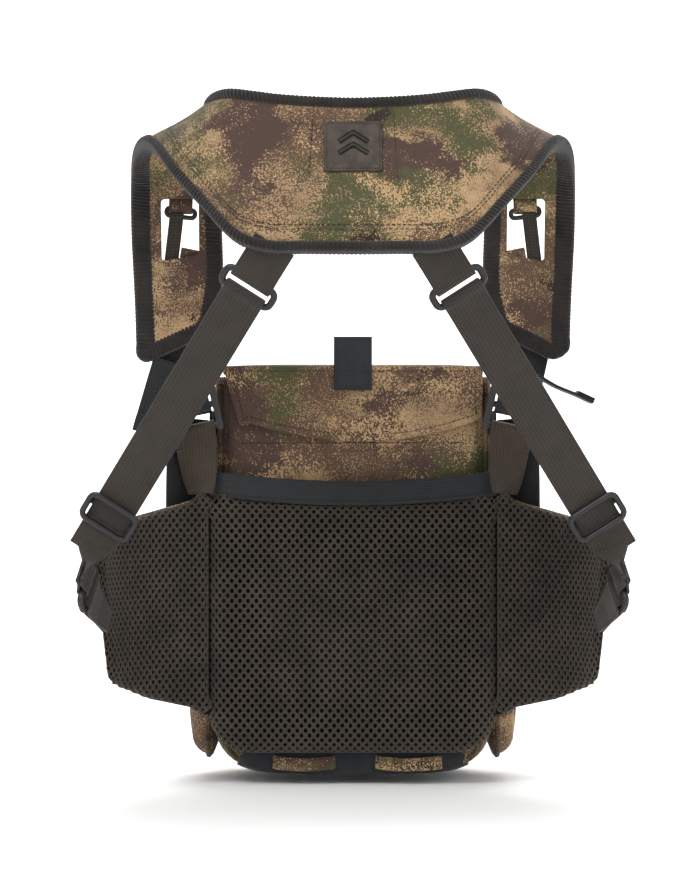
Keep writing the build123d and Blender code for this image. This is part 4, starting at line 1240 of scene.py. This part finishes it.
def tails():
    top = LOCK + LOCK_ACROSS * 3 - LOCK_UP * 5.5 + LOCK_OUT * 9.5
    foot, foot_across = vec(-107, 17.5, 62), vec(0.6, 0.8, 0)
    fall = unit(foot - top)
    path = [top, top + (foot - top) * 0.35 + vec(0, 1.2, 0), foot, foot + fall * 10]
    across = [-LOCK_ACROSS, unit(-LOCK_ACROSS + foot_across), foot_across, foot_across]
    lower = hemmed_tail("left_lower_tail_webbing", path, across, BLACK_STRAP)
    settle_pair(lower, "SIDE_lower_tail_body", "black_webbing", "SIDE_lower_tail")
    hanging = ("left", 16.5, 46.0, vec(-108.8, -12, 158))
    jutting = ("right", -63.0, 37.0, vec(111, -20, 150))
    for side, angle, length, start in (hanging, jutting):
        run = vec(-sin(radians(angle)), 0, -cos(radians(angle)))
        sideways, deep = vec(-run[2], 0, run[0]), OUTWARD
        bow, across = (deep, sideways) if side == "left" else (sideways, deep)
        slack = ((0, 0), (0.35, -0.8), (0.7, 0.2), (1, 0.6))
        points = [start + run * length * share + bow * lift for share, lift in slack]
        tail = hemmed_tail(side + "_upper_tail_webbing", points, [across] * 4, BLACK_STRAP)
        settle(tail, side + "_upper_tail_body", "black_webbing", side + "_upper_tail")


def finish_kept_nodes():
    """CAD nodes that stay as they are get their procedural finish."""
    finishes = {"ladder_lock": PLASTIC, "magnet": STEEL}
    for name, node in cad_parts.items():
        for ending, material in finishes.items():
            if name.endswith(ending):
                node.data.materials.clear()
                node.data.materials.append(material)
                node.data.shade_smooth()
                node.data.set_sharp_from_angle(angle=radians(35))


# ---- stage, lights and camera ----------------------------------------------------------------------
FLOOR = -101.0


def stage():
    """A pale studio sweep: a floor that curves up into a wall."""
    rises = ((-3500, 0), (1200, 0), (1900, 0), (2300, 130), (2500, 600), (2550, 2701))
    profile = curve_through([(0, y, FLOOR + rise) for y, rise in rises], 80)
    verts = np.vstack([profile + vec(x, 0, 0) for x in np.linspace(-3500, 3500, 8)])
    f = Finish("studio_paper", roughness=0.9, specular=0.1)
    colour = f.mix(f.noise(3.0, 2.0), linear(250, 250, 249), linear(255, 255, 255))
    paper = make_piece("studio_sweep", verts, grid_faces(8, len(profile)), f.finish(colour))


def area_light(name, place, aim, size, power):
    data = bpy.data.lights.new(name, "AREA")
    data.shape = "SQUARE"
    data.size = size
    data.energy = power
    lamp = bpy.data.objects.new(name, data)
    lamp.location = Vector(place)
    lamp.rotation_mode = "QUATERNION"
    lamp.rotation_quaternion = (Vector(aim) - Vector(place)).to_track_quat("-Z", "Y")
    bpy.context.scene.collection.objects.link(lamp)


def lights():
    world = bpy.data.worlds.new("studio")
    bpy.context.scene.world = world
    world.use_nodes = True
    world.node_tree.nodes["Background"].inputs["Color"].default_value = (1, 1, 1, 1)
    world.node_tree.nodes["Background"].inputs["Strength"].default_value = 0.62
    middle = (0, 0, 0.1)
    area_light("key", (-0.9, -1.7, 2.3), middle, 1.1, 40)
    area_light("fill", (1.6, -1.7, 0.8), middle, 1.6, 12)
    area_light("back", (0.2, 1.8, 1.9), (0, 2.2, 0.3), 1.8, 60)
    bpy.context.scene.view_settings.view_transform = "Standard"


def camera():
    data = bpy.data.cameras.new("photo_camera")
    data.sensor_width = 36.0
    data.sensor_fit = "AUTO"
    data.lens = 118.8
    data.clip_start = 0.05
    data.clip_end = 20.0
    eye = bpy.data.objects.new("photo_camera", data)
    eye.location = (-0.0018, -1.750, 0.1144)
    eye.rotation_euler = (radians(90), 0, 0)
    bpy.context.scene.collection.objects.link(eye)
    bpy.context.scene.camera = eye


camera()
stage()
lights()
for make in (back_pad, pocket_band, wings, pack_body, base, pockets, lid, pull_tab):
    make()
for make in (yoke, yoke_binding, yoke_sewing, patch, window_hardware):
    make()
for make in (harness_straps, wing_tips, lock_straps, tails, finish_kept_nodes):
    make()
